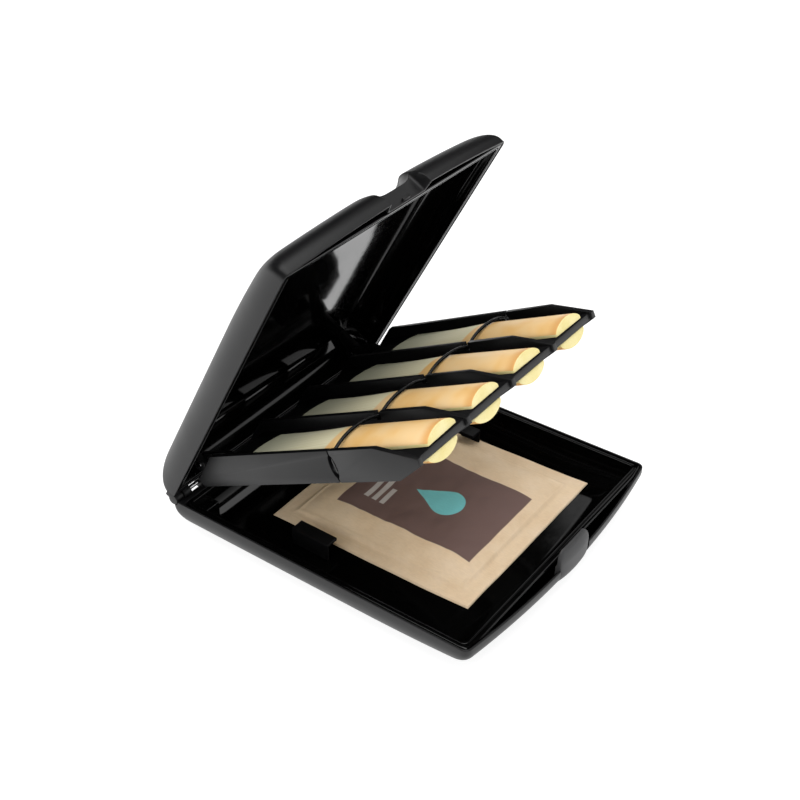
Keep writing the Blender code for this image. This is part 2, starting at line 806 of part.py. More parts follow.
def hinge_pin(parent):
    """The steel pin that both halves turn on."""
    end = HALF_WIDTH - HINGE_PIN_INSET
    return rod("hinge_pin", parent, HINGE_PIN_RADIUS, (-end, 0, 0), (end, 0, 0), CIRCLE)


def pivot_pin(parent, side):
    """A short pin through one of the lid's bosses and the tray's ear beside it."""
    name = "tray_pivot_pin_left" if side == DOWN else "tray_pivot_pin_right"
    inner = side * (PIVOT_EAR_X - PIVOT_PIN_STANDS_OUT)
    outer = side * (PIVOT_BOSS_X + PIVOT_BOSS_WIDTH + PIVOT_PIN_STANDS_OUT)
    line = (-PIVOT_Y, PIVOT_Z)
    return rod(name, parent, PIVOT_PIN_RADIUS, (inner, *line), (outer, *line), CIRCLE)


def latch_button(parent):
    """The catch: a crowned cap in front of the case, with a tab that nests in the lid's scoop."""
    half = LATCH_WIDTH / 2
    pin_y = LATCH_PIN_Y
    pin_z = -LATCH_PIN_DROP
    back_radius = SCOOP_RADIUS - PIECE_GAP
    front = FRONT_MIDDLE + LATCH_PROUD - pin_y
    scoop_y = SCOOP_Y - pin_y
    spread = math.asin(half / back_radius)
    back_face = arc((0, -scoop_y), back_radius, math.pi / 2 - spread, math.pi / 2 + spread, CIRCLE)
    steps = np.linspace(-1, 1, CIRCLE // 2 + 1)
    front_face = [(half * t, -front + LATCH_CROWN * t**LATCH_CROWN_POWER) for t in steps]
    bottom = -LATCH_DROP - pin_z
    top = LATCH_RISE - pin_z
    tall = top - bottom
    lens = extruded(
        "latch_button",
        parent,
        [front_face + back_face],
        tall,
        Matrix.Translation((0, 0, (top + bottom) / 2)),
    )
    heel_back = pin_y - POCKET_BACK - PIECE_GAP
    heel_low = (-half, -front + LATCH_PROUD, bottom)
    heel_high = (half, heel_back, -PIECE_GAP - pin_z)
    heel = box("latch_heel", parent, heel_low, heel_high)
    change(lens, "UNION", heel)
    quarter = math.pi / 2
    upper_round = (-front + LATCH_ROUND + LATCH_CROWN, top - LATCH_ROUND)
    lower_round = (-front + LATCH_ROUND, bottom + LATCH_ROUND)
    scoop_face = pin_y - FRONT_MIDDLE + SCOOP_DEPTH
    profile = [
        (heel_back - LATCH_RELIEF, bottom),
        (heel_back, 0),
        (heel_back, -PIECE_GAP - pin_z),
        (scoop_face - CATCH_LEDGE_REACH - PIECE_GAP, -pin_z),
        (scoop_face - LATCH_ROUND, top),
        *arc(upper_round, LATCH_ROUND, quarter, math.pi, ROUND_STEPS),
        *arc(lower_round, LATCH_ROUND, math.pi, math.pi + quarter, ROUND_STEPS),
    ]
    silhouette = extruded("latch_silhouette", parent, [profile], LATCH_WIDTH + OVERRUN, side_view(0))
    change(lens, "INTERSECT", silhouette)
    room = SPRING_RADIUS + SPRING_WIRE / 2 + PIECE_GAP
    half_room = SPRING_PITCH * SPRING_TURNS / 2 + SPRING_WIRE / 2 + PIECE_GAP
    round_room = room + SPRING_WIRE / 2
    coil_room = rod("coil_room", parent, round_room, (-half_room, 0, 0), (half_room, 0, 0), CIRCLE)
    back_room = box(
        "back_room", parent, (-half_room, 0, -room), (half_room, heel_back + OVERRUN, room)
    )
    change(coil_room, "UNION", back_room)
    wide = half + OVERRUN
    bore = rod("latch_bore", parent, LATCH_PIN_RADIUS + LATCH_PIN_GAP, (-wide, 0, 0), (wide, 0, 0), CIRCLE)
    return change(lens, "DIFFERENCE", coil_room, bore)


def latch_pin(parent):
    """The pin that the catch tips on, seated in the base on both sides of the pocket."""
    end = POCKET_HALF_WIDTH + LATCH_PIN_SEAT - PIECE_GAP
    return rod("latch_pin", parent, LATCH_PIN_RADIUS, (-end, 0, 0), (end, 0, 0), CIRCLE)


def tube(name, parent, points, radius, closed):
    """A round wire along points."""
    curve = bpy.data.curves.new(name, "CURVE")
    curve.dimensions = "3D"
    curve.bevel_depth = radius
    curve.bevel_resolution = 2
    curve.use_fill_caps = not closed
    spline = curve.splines.new("POLY")
    spline.points.add(len(points) - 1)
    spline.use_cyclic_u = closed
    for place, point in zip(spline.points, points):
        place.co = (*point, 1)
    made = bpy.data.objects.new(name, curve)
    PARTS.objects.link(made)
    made.parent = parent
    return made


def latch_spring(parent):
    """A torsion spring round the catch's pin, one leg on the base and one on the catch."""
    turns = np.linspace(0, SPRING_TURNS, SPRING_TURNS * SPRING_STEPS + 1)
    angles = math.pi / 2 + 2 * math.pi * turns
    start = -SPRING_PITCH * SPRING_TURNS / 2
    coil = [
        (start + SPRING_PITCH * turn, SPRING_RADIUS * math.cos(angle), SPRING_RADIUS * math.sin(angle))
        for turn, angle in zip(turns, angles)
    ]
    first = (start, SPRING_BACK_LEG, SPRING_RADIUS)
    last = (-start, -SPRING_FRONT_LEG, SPRING_RADIUS)
    return tube("latch_spring", parent, [first, *coil, last], SPRING_WIRE / 2, False)


def wall_places():
    """The places of the tray's walls along X, outer walls first and last."""
    return [-TRAY_WIDTH / 2 + TRAY_WALL / 2 + CELL_WIDTH * k for k in range(TRAY_CELLS + 1)]


def wall_outline():
    """A tray wall seen from the side: sloped at both ends."""
    half = TRAY_WALL_HEIGHT / 2
    toe = TRAY_WALL_TOE / 2
    return [
        (-TRAY_TIP_BACK, -TRAY_TIP_DROP),
        (-TRAY_TOP_BACK, half),
        (-TRAY_TOP_FRONT, half),
        (-TRAY_FRONT, toe),
        (-TRAY_FRONT, -toe),
        (-TRAY_BOTTOM_FRONT, -half),
        (-TRAY_BOTTOM_BACK, -half),
    ]


def tray_arm(parent, side):
    """An arm from the tray's floor to its pivot, rounded round the pin."""
    radius = PIVOT_EAR_RADIUS
    round_end = arc((0, 0), radius, math.pi / 2, -math.pi / 2, CIRCLE // 2)
    root = -TRAY_FLOOR_BACK - TRAY_WALL
    neck = -TRAY_FLOOR_BACK + TRAY_WALL
    half = TRAY_FLOOR / 2
    outline = [(root, half), (neck, radius), *round_end, (neck, -radius), (root, -half)]
    middle = side * (PIVOT_EAR_X + PIVOT_EAR_WIDTH / 2)
    return extruded(f"tray_arm_{side}", parent, [outline], PIVOT_EAR_WIDTH, side_view(middle))


def reed_tray(parent):
    """The tray: a floor between two rows of reeds, five walls, two arms, and the elastic's slots."""
    outer = TRAY_WIDTH / 2 - TRAY_WALL / 2
    floor = box(
        "reed_tray",
        parent,
        (-outer, -TRAY_FLOOR_FRONT, -TRAY_FLOOR / 2),
        (outer, -TRAY_FLOOR_BACK, TRAY_FLOOR / 2),
    )
    walls = [
        extruded(f"tray_wall_{k}", parent, [wall_outline()], TRAY_WALL, side_view(x))
        for k, x in enumerate(wall_places())
    ]
    arms = both(lambda side: tray_arm(parent, side))
    change(floor, "UNION", *walls, *arms)
    reach = PIVOT_EAR_X + PIVOT_EAR_WIDTH + OVERRUN
    bore = rod(
        "tray_bore",
        parent,
        PIVOT_PIN_RADIUS + PIVOT_RUNNING_GAP,
        (-reach, 0, 0),
        (reach, 0, 0),
        CIRCLE,
    )
    change(floor, "DIFFERENCE", bore, *cord_cuts(parent, outer))
    return floor


def cord_cuts(parent, outer):
    """The cuts for the elastic: notches in the inner walls, and a slit slot in each outer wall."""
    inner = outer - CELL_WIDTH / 2
    half_notch = CORD_RADIUS + PIECE_GAP
    notch_floor = CORD_AT_WALL - half_notch
    beyond = TRAY_WALL_HEIGHT / 2 + OVERRUN
    notches = [
        box(
            f"notch_{side}",
            parent,
            (-inner, -CORD_FROM_PIVOT - half_notch, min(side * notch_floor, side * beyond)),
            (inner, -CORD_FROM_PIVOT + half_notch, max(side * notch_floor, side * beyond)),
        )
        for side in (DOWN, UP)
    ]
    turns = np.linspace(0, 2 * math.pi, CIRCLE, endpoint=False)
    slot = [
        (-CORD_FROM_PIVOT + SLOT_HALF_WIDTH * math.cos(turn), SLOT_HALF_HEIGHT * math.sin(turn))
        for turn in turns
    ]
    slots = []
    for side in (DOWN, UP):
        place = side_view(side * outer)
        made = extruded(f"slot_{side}", parent, [slot], TRAY_WALL + PIECE_GAP, place)
        low = outer - TRAY_WALL
        high = outer + TRAY_WALL
        slit = box(
            f"slit_{side}",
            parent,
            (min(side * low, side * high), -CORD_FROM_PIVOT - SLIT_WIDTH / 2, -beyond),
            (max(side * low, side * high), -CORD_FROM_PIVOT + SLIT_WIDTH / 2, beyond),
        )
        over_floor = box(
            f"slit_stop_{side}",
            parent,
            (min(side * low, side * high) - OVERRUN, -CORD_FROM_PIVOT - TRAY_WALL, -TRAY_FLOOR),
            (max(side * low, side * high) + OVERRUN, -CORD_FROM_PIVOT + TRAY_WALL, TRAY_FLOOR),
        )
        change(slit, "DIFFERENCE", over_floor)
        slots += [made, slit]
    return notches + slots


def elastic_cord(parent):
    """One loop of elastic: over the upper reeds, down an outer wall, under the lower reeds and back."""
    outer = TRAY_WIDTH / 2 - TRAY_WALL / 2
    crown = TRAY_FLOOR / 2 + PIECE_GAP + REED_CROWN + PIECE_GAP + CORD_RADIUS
    places = wall_places()
    upper = [(-outer, 0), (-outer, CORD_AT_SLOT - CORD_BEND)]
    for k in range(TRAY_CELLS):
        start = CORD_AT_SLOT if k == 0 else CORD_AT_WALL
        end = CORD_AT_SLOT if k == TRAY_CELLS - 1 else CORD_AT_WALL
        for step in range(CORD_STEPS):
            share = step / CORD_STEPS
            chord = start + (end - start) * share
            arch = (4 * share * (1 - share)) ** CORD_ARCH_SHARE
            height = chord + (crown - (start + end) / 2) * arch
            if share > 0 or k > 0:
                upper.append((places[k] + CELL_WIDTH * share, height))
            else:
                upper.append((places[k] + CORD_BEND * CORD_CORNER_SHARE, CORD_AT_SLOT))
    upper.append((outer - CORD_BEND * CORD_CORNER_SHARE, CORD_AT_SLOT))
    upper.append((outer, CORD_AT_SLOT - CORD_BEND))
    lower = [(-x, -z) for x, z in upper]
    points = [(x, -CORD_FROM_PIVOT, z) for x, z in upper + lower]
    return tube("elastic_cord", parent, points, CORD_RADIUS, True)


def reed_mesh():
    """A cane reed: a bark-covered heel with a crown, and a vamp scraped down to a thin rounded tip."""
    shape = bmesh.new()
    across = np.linspace(-1, 1, REED_ACROSS + 1)
    vamp_steps = REED_STEPS - BARK_STEPS
    vamp_places = np.linspace(0, 1, vamp_steps + 1)[1:] ** VAMP_STATION_POWER
    stations = np.concatenate(
        [
            np.linspace(0, REED_BARK, BARK_STEPS + 1),
            REED_BARK + (REED_LENGTH - REED_BARK) * vamp_places,
        ]
    )
    rings = []
    for along in stations:
        share = along / REED_LENGTH
        scraped = min(max((along - REED_BARK) / (REED_LENGTH - REED_BARK), 0), 1)
        left = (1 - scraped) ** VAMP_CROWN_POWER
        crown = REED_TIP + (REED_CROWN - REED_TIP) * left
        side = REED_TIP + (REED_SIDE - REED_TIP) * left**VAMP_SIDE_POWER
        half = (REED_HEEL_WIDTH + (REED_TIP_WIDTH - REED_HEEL_WIDTH) * share) / 2
        sag = REED_TIP_SAG * share**TIP_SAG_POWER
        ring = [(half * u, along - sag * u * u, side + (crown - side) * (1 - u * u)) for u in across]
        ring += [(half * u, along - sag * u * u, 0) for u in across[::-1]]
        rings.append([shape.verts.new(point) for point in ring])
    count = len(rings[0])
    for lower, upper in zip(rings, rings[1:]):
        for k in range(count):
            after = (k + 1) % count
            shape.faces.new((lower[k], lower[after], upper[after], upper[k]))
    for ring in (rings[0], rings[-1]):
        for k in range(REED_ACROSS):
            shape.faces.new((ring[k], ring[k + 1], ring[count - 2 - k], ring[count - 1 - k]))
    return shape


def reed(name, parent, cell, shares, row):
    """A reed on one side of the tray's floor, heel towards the latch."""
    heel_share, tip_share = shares
    middle = (wall_places()[cell] + wall_places()[cell + 1]) / 2
    heel_x = middle + heel_share * CELL_WIDTH
    swing = math.asin(tip_share * CELL_WIDTH / REED_LENGTH)
    made = from_bmesh(name, reed_mesh(), parent)
    lift = TRAY_FLOOR / 2 + PIECE_GAP
    made.location = (heel_x, -TRAY_FLOOR_FRONT + REED_HEEL_FROM_FRONT, row * lift)
    made.rotation_euler = (0, 0 if row == UP else math.pi, -swing)
    return made


def humidity_pack(parent):
    """A sachet on the base's floor: a crowned middle inside a flat sealed border."""
    place = Matrix.Translation((PACK_X, -PACK_Y, 0)) @ Matrix.Rotation(PACK_TURN, 4, "Z")
    shape = bmesh.new()
    bmesh.ops.create_grid(shape, x_segments=PACK_CELLS, y_segments=PACK_CELLS, size=1.0)
    top = list(shape.verts)
    for vert in top:
        x = vert.co.x * PACK_WIDTH / 2
        y = vert.co.y * PACK_LENGTH / 2
        rise_x = np.clip((PACK_WIDTH / 2 - abs(x) - PACK_SEAL) / PACK_SWELL, 0, 1)
        rise_y = np.clip((PACK_LENGTH / 2 - abs(y) - PACK_SEAL) / PACK_SWELL, 0, 1)
        swell = math.sin(math.pi / 2 * rise_x) * math.sin(math.pi / 2 * rise_y)
        vert.co = (x, y, PACK_SEAL_THICKNESS + (PACK_THICKNESS - PACK_SEAL_THICKNESS) * math.sqrt(swell))
    grown = bmesh.ops.extrude_face_region(shape, geom=list(shape.faces), use_keep_orig=True)
    for item in grown["geom"]:
        if isinstance(item, bmesh.types.BMVert):
            item.co.z = 0
    for vert in shape.verts:
        vert.co.z += FLOOR_DEPTH * (1 - tuck((place @ vert.co).y))
    made = from_bmesh("humidity_pack", shape, parent)
    made.location = (PACK_X, -PACK_Y, -FLOOR_DEPTH + PIECE_GAP)
    made.rotation_euler = (0, 0, PACK_TURN)
    return made


def build():
    """Make every part on its axis and give it its surface."""
    black = material("black_plastic", (0.028, 0.028, 0.029), 0.42, 0.0)
    gloss = material("gloss_black_plastic", (0.008, 0.008, 0.009), 0.08, 0.0)
    grey = material("dark_grey_plastic", (0.05, 0.05, 0.052), 0.38, 0.0)
    steel = material("steel", (0.62, 0.62, 0.63), 0.22, 1.0)
    elastic = material("elastic", (0.012, 0.012, 0.012), 0.5, 0.0)
    cane = material("cane", (0.72, 0.48, 0.2), 0.5, 0.0)
    kraft = material("kraft_paper", (0.6, 0.4, 0.24), 0.8, 0.0)

    hinge = empty("hinge_axis", None, (0, HINGE_FROM_ORIGIN, HINGE_HEIGHT), 0)
    lid = empty("lid_axis", hinge, (0, 0, 0), -LID_ANGLE)
    tray = empty("tray_axis", lid, (0, -PIVOT_Y, PIVOT_Z), LID_ANGLE - TRAY_ANGLE)
    latch = empty("latch_axis", hinge, (0, -LATCH_PIN_Y, -LATCH_PIN_DROP), 0)

    finish(base_shell(hinge), black)
    finish(base_liner(hinge), gloss)
    finish(hinge_pin(hinge), steel)
    finish(humidity_pack(hinge), kraft)
    finish(lid_shell(lid), black)
    finish(lid_liner(lid), gloss)
    finish(pivot_pin(lid, DOWN), steel)
    finish(pivot_pin(lid, UP), steel)
    finish(reed_tray(tray), grey)
    elastic_cord(tray).data.materials.append(elastic)
    for cell in range(TRAY_CELLS):
        finish(reed(f"reed_top_{cell + 1}", tray, cell, UPPER_REED_SHARES[cell], UP), cane)
        finish(reed(f"reed_bottom_{cell + 1}", tray, cell, LOWER_REED_SHARES[cell], DOWN), cane)
    finish(latch_button(latch), grey)
    finish(latch_pin(latch), steel)
    latch_spring(latch).data.materials.append(steel)


clear_scene()
PARTS = collection("reed_case")
TOOLS = collection("cutters")
build()
bpy.context.view_layer.update()
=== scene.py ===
"""A folding reed case, seen open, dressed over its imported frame.

Every length is in metres. A half of the case is worked out in its own leaf: the hinge line is the X axis
of the leaf, -Y runs to the front, and Z is zero in the parting plane. A Place turns a leaf, the tray or
the latch into the frame.
"""

import json
import logging
import math
from collections.abc import Iterator
from contextlib import contextmanager
from dataclasses import dataclass, replace
from enum import Enum

import bmesh
import bpy
import numpy as np
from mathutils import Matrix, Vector


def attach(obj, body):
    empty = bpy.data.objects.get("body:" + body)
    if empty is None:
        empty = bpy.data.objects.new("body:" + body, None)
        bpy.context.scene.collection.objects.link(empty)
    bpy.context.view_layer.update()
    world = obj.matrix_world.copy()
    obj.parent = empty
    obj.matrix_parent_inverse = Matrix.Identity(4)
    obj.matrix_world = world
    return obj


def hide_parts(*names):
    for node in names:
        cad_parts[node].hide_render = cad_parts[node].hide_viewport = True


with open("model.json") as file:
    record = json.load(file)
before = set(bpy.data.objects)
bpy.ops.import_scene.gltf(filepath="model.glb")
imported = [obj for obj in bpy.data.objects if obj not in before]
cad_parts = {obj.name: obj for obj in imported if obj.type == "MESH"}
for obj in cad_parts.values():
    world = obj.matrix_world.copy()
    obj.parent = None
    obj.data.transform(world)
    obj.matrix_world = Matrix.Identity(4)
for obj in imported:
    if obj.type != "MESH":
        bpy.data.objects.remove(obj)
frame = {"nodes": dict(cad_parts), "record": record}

Array = np.ndarray
Socket = bpy.types.NodeSocket
Tree = bpy.types.NodeTree
LOG = logging.getLogger("reed_case")
MM = 0.001
WELD = 0.0005 * MM
TRAY_ANGLE = math.radians(26.607)
JOINTS = {joint["name"]: joint for joint in frame["record"]["behaviour"]["joints"]}
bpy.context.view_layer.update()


class Body(Enum):
    """The moving bodies of the frame."""

    BASE = "base"
    LID = "lid"
    TRAY = "tray"
    LATCH = "latch"


class Slot(Enum):
    """The record's material slots."""

    SHELL = "black_plastic"
    LINER = "gloss_black_plastic"
    FITTING = "dark_grey_plastic"
    STEEL = "steel"
    ELASTIC = "elastic"
    CANE = "cane"
    PAPER = "kraft_paper"


class Half(Enum):
    """Which way a half of the case is hollow from the parting plane."""

    LOWER = -1
    UPPER = 1


def linear(colour: str) -> tuple[float, float, float, float]:
    """Turn six hex digits of sRGB into linear red, green, blue and a full alpha."""
    channels = np.array([int(colour[k : k + 2], 16) for k in (0, 2, 4)]) / 255
    bent = np.where(channels <= 0.04045, channels / 12.92, ((channels + 0.055) / 1.055) ** 2.4)
    return (*bent.tolist(), 1.0)


def add(tree: Tree, kind: str, *sources: object, out: int | str = 0, **values: object) -> Socket:
    """Add a shader node with its settings and links.

    Args:
        tree: The material's node tree.
        kind: The node's type after ShaderNode, then its operation after a space where it has one.
        sources: A value or an output for each of its first inputs.
        out: Which of its outputs to give.
        values: By a capital, an input's name with _ for spaces; by i and a number, an input's place; else an
            attribute of the node, or the stops of a colour ramp.

    Returns:
        The output.
    """
    kind, _, operation = kind.partition(" ")
    made = tree.nodes.new("ShaderNode" + kind)
    if operation:
        made.operation = operation
    inputs = dict(enumerate(sources))
    for name, value in values.items():
        if name[0].isupper():
            inputs[name.replace("_", " ")] = value
        elif name[1:].isdigit():
            inputs[int(name[1:])] = value
        elif name == "stops":
            elements = made.color_ramp.elements
            for _ in value[len(elements) :]:
                elements.new(0.5)
            for element, (place, colour) in zip(elements, value):
                element.position, element.color = place, linear(colour)
        else:
            setattr(made, name, value)
    for name, value in inputs.items():
        socket = made.inputs[name]
        if isinstance(value, Socket):
            tree.links.new(value, socket)
        else:
            socket.default_value = value
    return made.outputs[out]


def linked(name: str, data: bpy.types.ID) -> bpy.types.Object:
    """A new object in the scene."""
    made = bpy.data.objects.new(name, data)
    bpy.context.scene.collection.objects.link(made)
    return made


def grid_faces(rows: int, columns: int, closed_rows: bool = False, closed_columns: bool = False) -> Array:
    """Number the quads of a grid of points.

    Args:
        rows: Number of rows.
        columns: Points in a row.
        closed_rows: Whether the last row joins the first.
        closed_columns: Whether a row's last point joins its first.

    Returns:
        Four point numbers for each quad.
    """
    row = np.arange(rows if closed_rows else rows - 1)[:, None]
    column = np.arange(columns if closed_columns else columns - 1)[None, :]
    after = (column + 1) % columns
    here = row * columns
    below = (row + 1) % rows * columns
    corners = [here + column, here + after, below + after, below + column]
    return np.stack(np.broadcast_arrays(*corners), axis=-1).reshape(-1, 4)


def strip_faces(rows: int, columns: int) -> Array:
    """The quads of flat closed rings, upper half out and lower half back, with both ends closed."""
    step = np.arange(columns // 2 - 1)
    end = np.stack([step, step + 1, columns - 2 - step, columns - 1 - step], axis=-1)
    return np.concatenate([grid_faces(rows, columns, closed_columns=True), end, end + (rows - 1) * columns])


def smooth_max(first: Array, second: Array, blend: float) -> Array:
    """The larger of two arrays, with the change from one to the other rounded over a blend length."""
    return (first + second + np.sqrt((first - second) ** 2 + blend * blend)) / 2


def quarter(share: Array) -> Array:
    """How far a quarter circle of radius 1 has drawn in, at a share of the way along it."""
    return 1 - np.sqrt(1 - np.clip(share, 0, 1) ** 2)


def bump_noise(places: Array, wavelength: float, seed: int, waves: int = 9) -> Array:
    """A soft random field, mostly between -1 and 1: a sum of sine waves in seeded directions.

    Args:
        places: Points, with two or three numbers each.
        wavelength: The typical distance from crest to crest.
        seed: Seed of the directions and phases.
        waves: Number of waves.

    Returns:
        One number for each point.
    """
    random = np.random.default_rng(seed)
    directions = random.normal(size=(waves, places.shape[-1]))
    directions /= np.linalg.norm(directions, axis=1, keepdims=True)
    pitches = 2 * math.pi / (wavelength * random.uniform(0.6, 1.6, waves))
    phases = random.uniform(0, 2 * math.pi, waves)
    return np.sin(places @ (directions * pitches[:, None]).T + phases).sum(axis=-1) / math.sqrt(waves)


@dataclass(frozen=True)
class Place:
    """Where a body's own axes lie in the frame at rest: at a joint, turned about X."""

    body: Body
    origin: list[float]
    angle: float = 0.0

    def put(self, points: Array) -> Array:
        """Turn points about X by the body's angle and move them to its origin."""
        cosine = math.cos(self.angle)
        sine = math.sin(self.angle)
        x, y, z = np.moveaxis(points, -1, 0)
        return np.stack([x, y * cosine + z * sine, -y * sine + z * cosine], axis=-1) + np.array(self.origin)


class Piece:
    """A mesh piece on its way into the scene."""

    def __init__(self, name: str, place: Place, slot: Slot) -> None:
        """Start a piece.

        Args:
            name: The object's name.
            place: The body that it rides on, and that body's axes.
            slot: The record's slot for its finish.
        """
        self.name = name
        self.place = place
        self.slot = slot
        self.object: bpy.types.Object | None = None

    def from_grid(
        self,
        points: Array,
        faces: Array,
        finishes: Array | None = None,
        uv: Array | None = None,
        capped: bool = False,
    ) -> "Piece":
        """Make the mesh from points in the body's axes.

        Args:
            points: Rows of points, with three numbers each.
            faces: Four point numbers for each quad.
            finishes: The material number of each quad.
            uv: Two numbers for each point.
            capped: Whether one more face closes each of two rows.

        Returns:
            The piece.
        """
        mesh = bpy.data.meshes.new(self.name)
        count = points.shape[1]
        ends = [list(range(count)), list(range(count, 2 * count))] if capped else []
        mesh.from_pydata(self.place.put(points.reshape(-1, 3)).tolist(), [], faces.tolist() + ends)
        if finishes is not None:
            mesh.polygons.foreach_set("material_index", finishes.astype(np.int32))
        if uv is not None:
            corners = np.empty(len(mesh.loops), dtype=np.int32)
            mesh.loops.foreach_get("vertex_index", corners)
            layer = mesh.uv_layers.new(name="UVMap")
            layer.data.foreach_set("uv", uv.reshape(-1, 2)[corners].astype(np.float32).ravel())
        self.object = linked(self.name, mesh)
        return self.welded(recalculate=True)

    def from_node(self, node: str) -> "Piece":
        """Copy a node of the frame, whose loose triangles already point the right way, and merge it."""
        source = frame["nodes"][node]
        mesh = source.data.copy()
        mesh.materials.clear()
        mesh.transform(source.matrix_world)
        self.object = linked(self.name, mesh)
        return self.welded(recalculate=False, reach=4 * WELD)

    @contextmanager
    def opened(self) -> Iterator[bmesh.types.BMesh]:
        """The mesh for editing, which is written back afterwards."""
        shape = bmesh.new()
        shape.from_mesh(self.object.data)
        yield shape
        shape.to_mesh(self.object.data)
        shape.free()

    def welded(self, recalculate: bool, reach: float = WELD) -> "Piece":
        """Merge points that lie together, close the poles, and point the faces outwards where asked."""
        with self.opened() as shape:
            bmesh.ops.remove_doubles(shape, verts=shape.verts, dist=reach)
            bmesh.ops.dissolve_degenerate(shape, edges=shape.edges, dist=reach)
            if recalculate:
                bmesh.ops.recalc_face_normals(shape, faces=shape.faces)
        return self

    def flattened(self) -> "Piece":
        """Dissolve the edges inside flat faces, so that a bevel meets only the real edges."""
        limits = {"angle_limit": math.radians(1), "delimit": {"NORMAL"}}
        with self.opened() as shape:
            bmesh.ops.dissolve_limit(shape, verts=shape.verts, edges=shape.edges, **limits)
        return self

    def joined(self, *others: "Piece") -> "Piece":
        """Take other pieces' meshes into this one, with no change to their shapes."""
        with self.opened() as shape:
            for other in others:
                shape.from_mesh(other.object.data)
                bpy.data.objects.remove(other.object)
        return self

    def carved(self, *tools: "Piece") -> "Piece":
        """Cut other pieces out of this one, and remove them."""
        for tool in tools:
            cut = self.object.modifiers.new("carve", "BOOLEAN")
            cut.object = tool.object
            cut.operation = "DIFFERENCE"
            cut.solver = "EXACT"
        self.apply()
        for tool in tools:
            bpy.data.objects.remove(tool.object)
        return self

    def bevelled(self, width: float, segments: int = 2) -> "Piece":
        """Round the edges that are sharper than 30 degrees."""
        bevel = self.object.modifiers.new("edge_round", "BEVEL")
        bevel.width = width
        bevel.segments = segments
        bevel.limit_method = "ANGLE"
        bevel.angle_limit = math.radians(30)
        bevel.harden_normals = False
        return self.apply()

    def apply(self) -> "Piece":
        """Apply the modifiers to the mesh."""
        graph = bpy.context.evaluated_depsgraph_get()
        mesh = bpy.data.meshes.new_from_object(self.object.evaluated_get(graph))
        self.object.modifiers.clear()
        self.object.data = mesh
        return self

    def dressed(self, *materials: bpy.types.Material, sharp: float = 35.0) -> "Piece":
        """Give the piece its materials and smooth it up to an angle in degrees."""
        mesh = self.object.data
        numbers = np.zeros(len(mesh.polygons), dtype=np.int32)
        mesh.polygons.foreach_get("material_index", numbers)
        mesh.materials.clear()
        for material in materials:
            mesh.materials.append(material)
        mesh.polygons.foreach_set("material_index", numbers)
        mesh.shade_smooth()
        mesh.set_sharp_from_angle(angle=math.radians(sharp))
        return self

    def stands_for(self, *nodes: str) -> "Piece":
        """Put the piece on its body in place of nodes of the frame."""
        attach(self.object, self.place.body.value)
        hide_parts(*nodes)
        LOG.info("%s rides on %s, %d faces", self.name, self.place.body.value, len(self.object.data.polygons))
        return self


@dataclass(frozen=True)
class Finish:
    """What every finish has: a name, its colour and how it takes light."""

    name: str
    colour: str
    roughness: float
    ior: float = 1.5
    metallic: float = 0.0

    def pattern(self, tree: Tree) -> dict[str, Socket]:
        """What changes over the surface: an output for each of the shader's inputs that it drives."""
        raise NotImplementedError

    def make(self) -> bpy.types.Material:
        """Make the material, with its plain values and its pattern."""
        material = bpy.data.materials.new(self.name)
        material.use_nodes = True
        tree = material.node_tree
        inputs = tree.nodes["Principled BSDF"].inputs
        inputs["Base Color"].default_value = linear(self.colour)
        inputs["Roughness"].default_value = self.roughness
        inputs["IOR"].default_value = self.ior
        inputs["Metallic"].default_value = self.metallic
        for name, output in self.pattern(tree).items():
            tree.links.new(output, inputs[name])
        return material


@dataclass(frozen=True)
class MouldedPlastic(Finish):
    """Injection-moulded ABS with a fine spark-eroded skin.

    The eye sees an even satin that breaks up at the edge of a highlight, with a slight unevenness in gloss.
    The real grain is about 0.05 mm. It is drawn 0.25 mm wide, because 0.05 mm would not show.
    """

    grain: float = 0.25 * MM
    grain_height: float = 0.004 * MM
    patch: float = 14 * MM
    spread: float = 0.06

    def pattern(self, tree: Tree) -> dict[str, Socket]:
        """Grain in the bump, and a slow change of gloss."""
        place = add(tree, "TexCoord", out="Object")
        grain = add(tree, "TexNoise", Vector=place, Scale=1 / self.grain, Detail=3.0, Roughness=0.6)
        patches = add(tree, "TexNoise", Vector=place, Scale=1 / self.patch, Detail=2.0)
        low, high = self.roughness - self.spread, self.roughness + self.spread
        return {
            "Roughness": add(tree, "MapRange", patches, To_Min=low, To_Max=high),
            "Normal": add(tree, "Bump", Height=grain, Strength=1.0, Distance=self.grain_height),
        }


@dataclass(frozen=True)
class PolishedPlastic(Finish):
    """ABS from a polished mould: piano black, with the slow waves that thin moulded walls have.

    The eye sees deep black with sharp reflections that bend over the waves, some 20 mm long, and hairline
    scratches. A mark is the round trace of an ejector pin, a ring 0.12 mm wide.
    """

    wave: float = 22 * MM
    wave_height: float = 0.05 * MM
    scratch: float = 1.6 * MM
    mark: tuple[float, float, float] | None = None
    mark_radius: float = 3.3 * MM
    mark_width: float = 0.12 * MM
    mark_height: float = 0.04 * MM

    def pattern(self, tree: Tree) -> dict[str, Socket]:
        """Waves in the bump, scratches in the gloss, and the ejector's ring if there is one."""
        place = add(tree, "TexCoord", out="Object")
        waves = add(tree, "TexNoise", Vector=place, Scale=1 / self.wave, Detail=1.0)
        normal = add(tree, "Bump", Height=waves, Strength=1.0, Distance=self.wave_height)
        dust = add(tree, "TexNoise", Vector=place, Scale=1 / self.scratch, Detail=4.0)
        low, high = self.roughness, self.roughness + 0.05
        gloss = add(tree, "MapRange", dust, From_Min=0.45, From_Max=0.8, To_Min=low, To_Max=high)
        if self.mark is not None:
            away = add(tree, "VectorMath DISTANCE", place, self.mark, out="Value")
            ring = add(tree, "Math COMPARE", away, self.mark_radius, self.mark_width)
            normal = add(tree, "Bump", Height=ring, Strength=0.6, Distance=self.mark_height, Normal=normal)
        return {"Roughness": gloss, "Normal": normal}


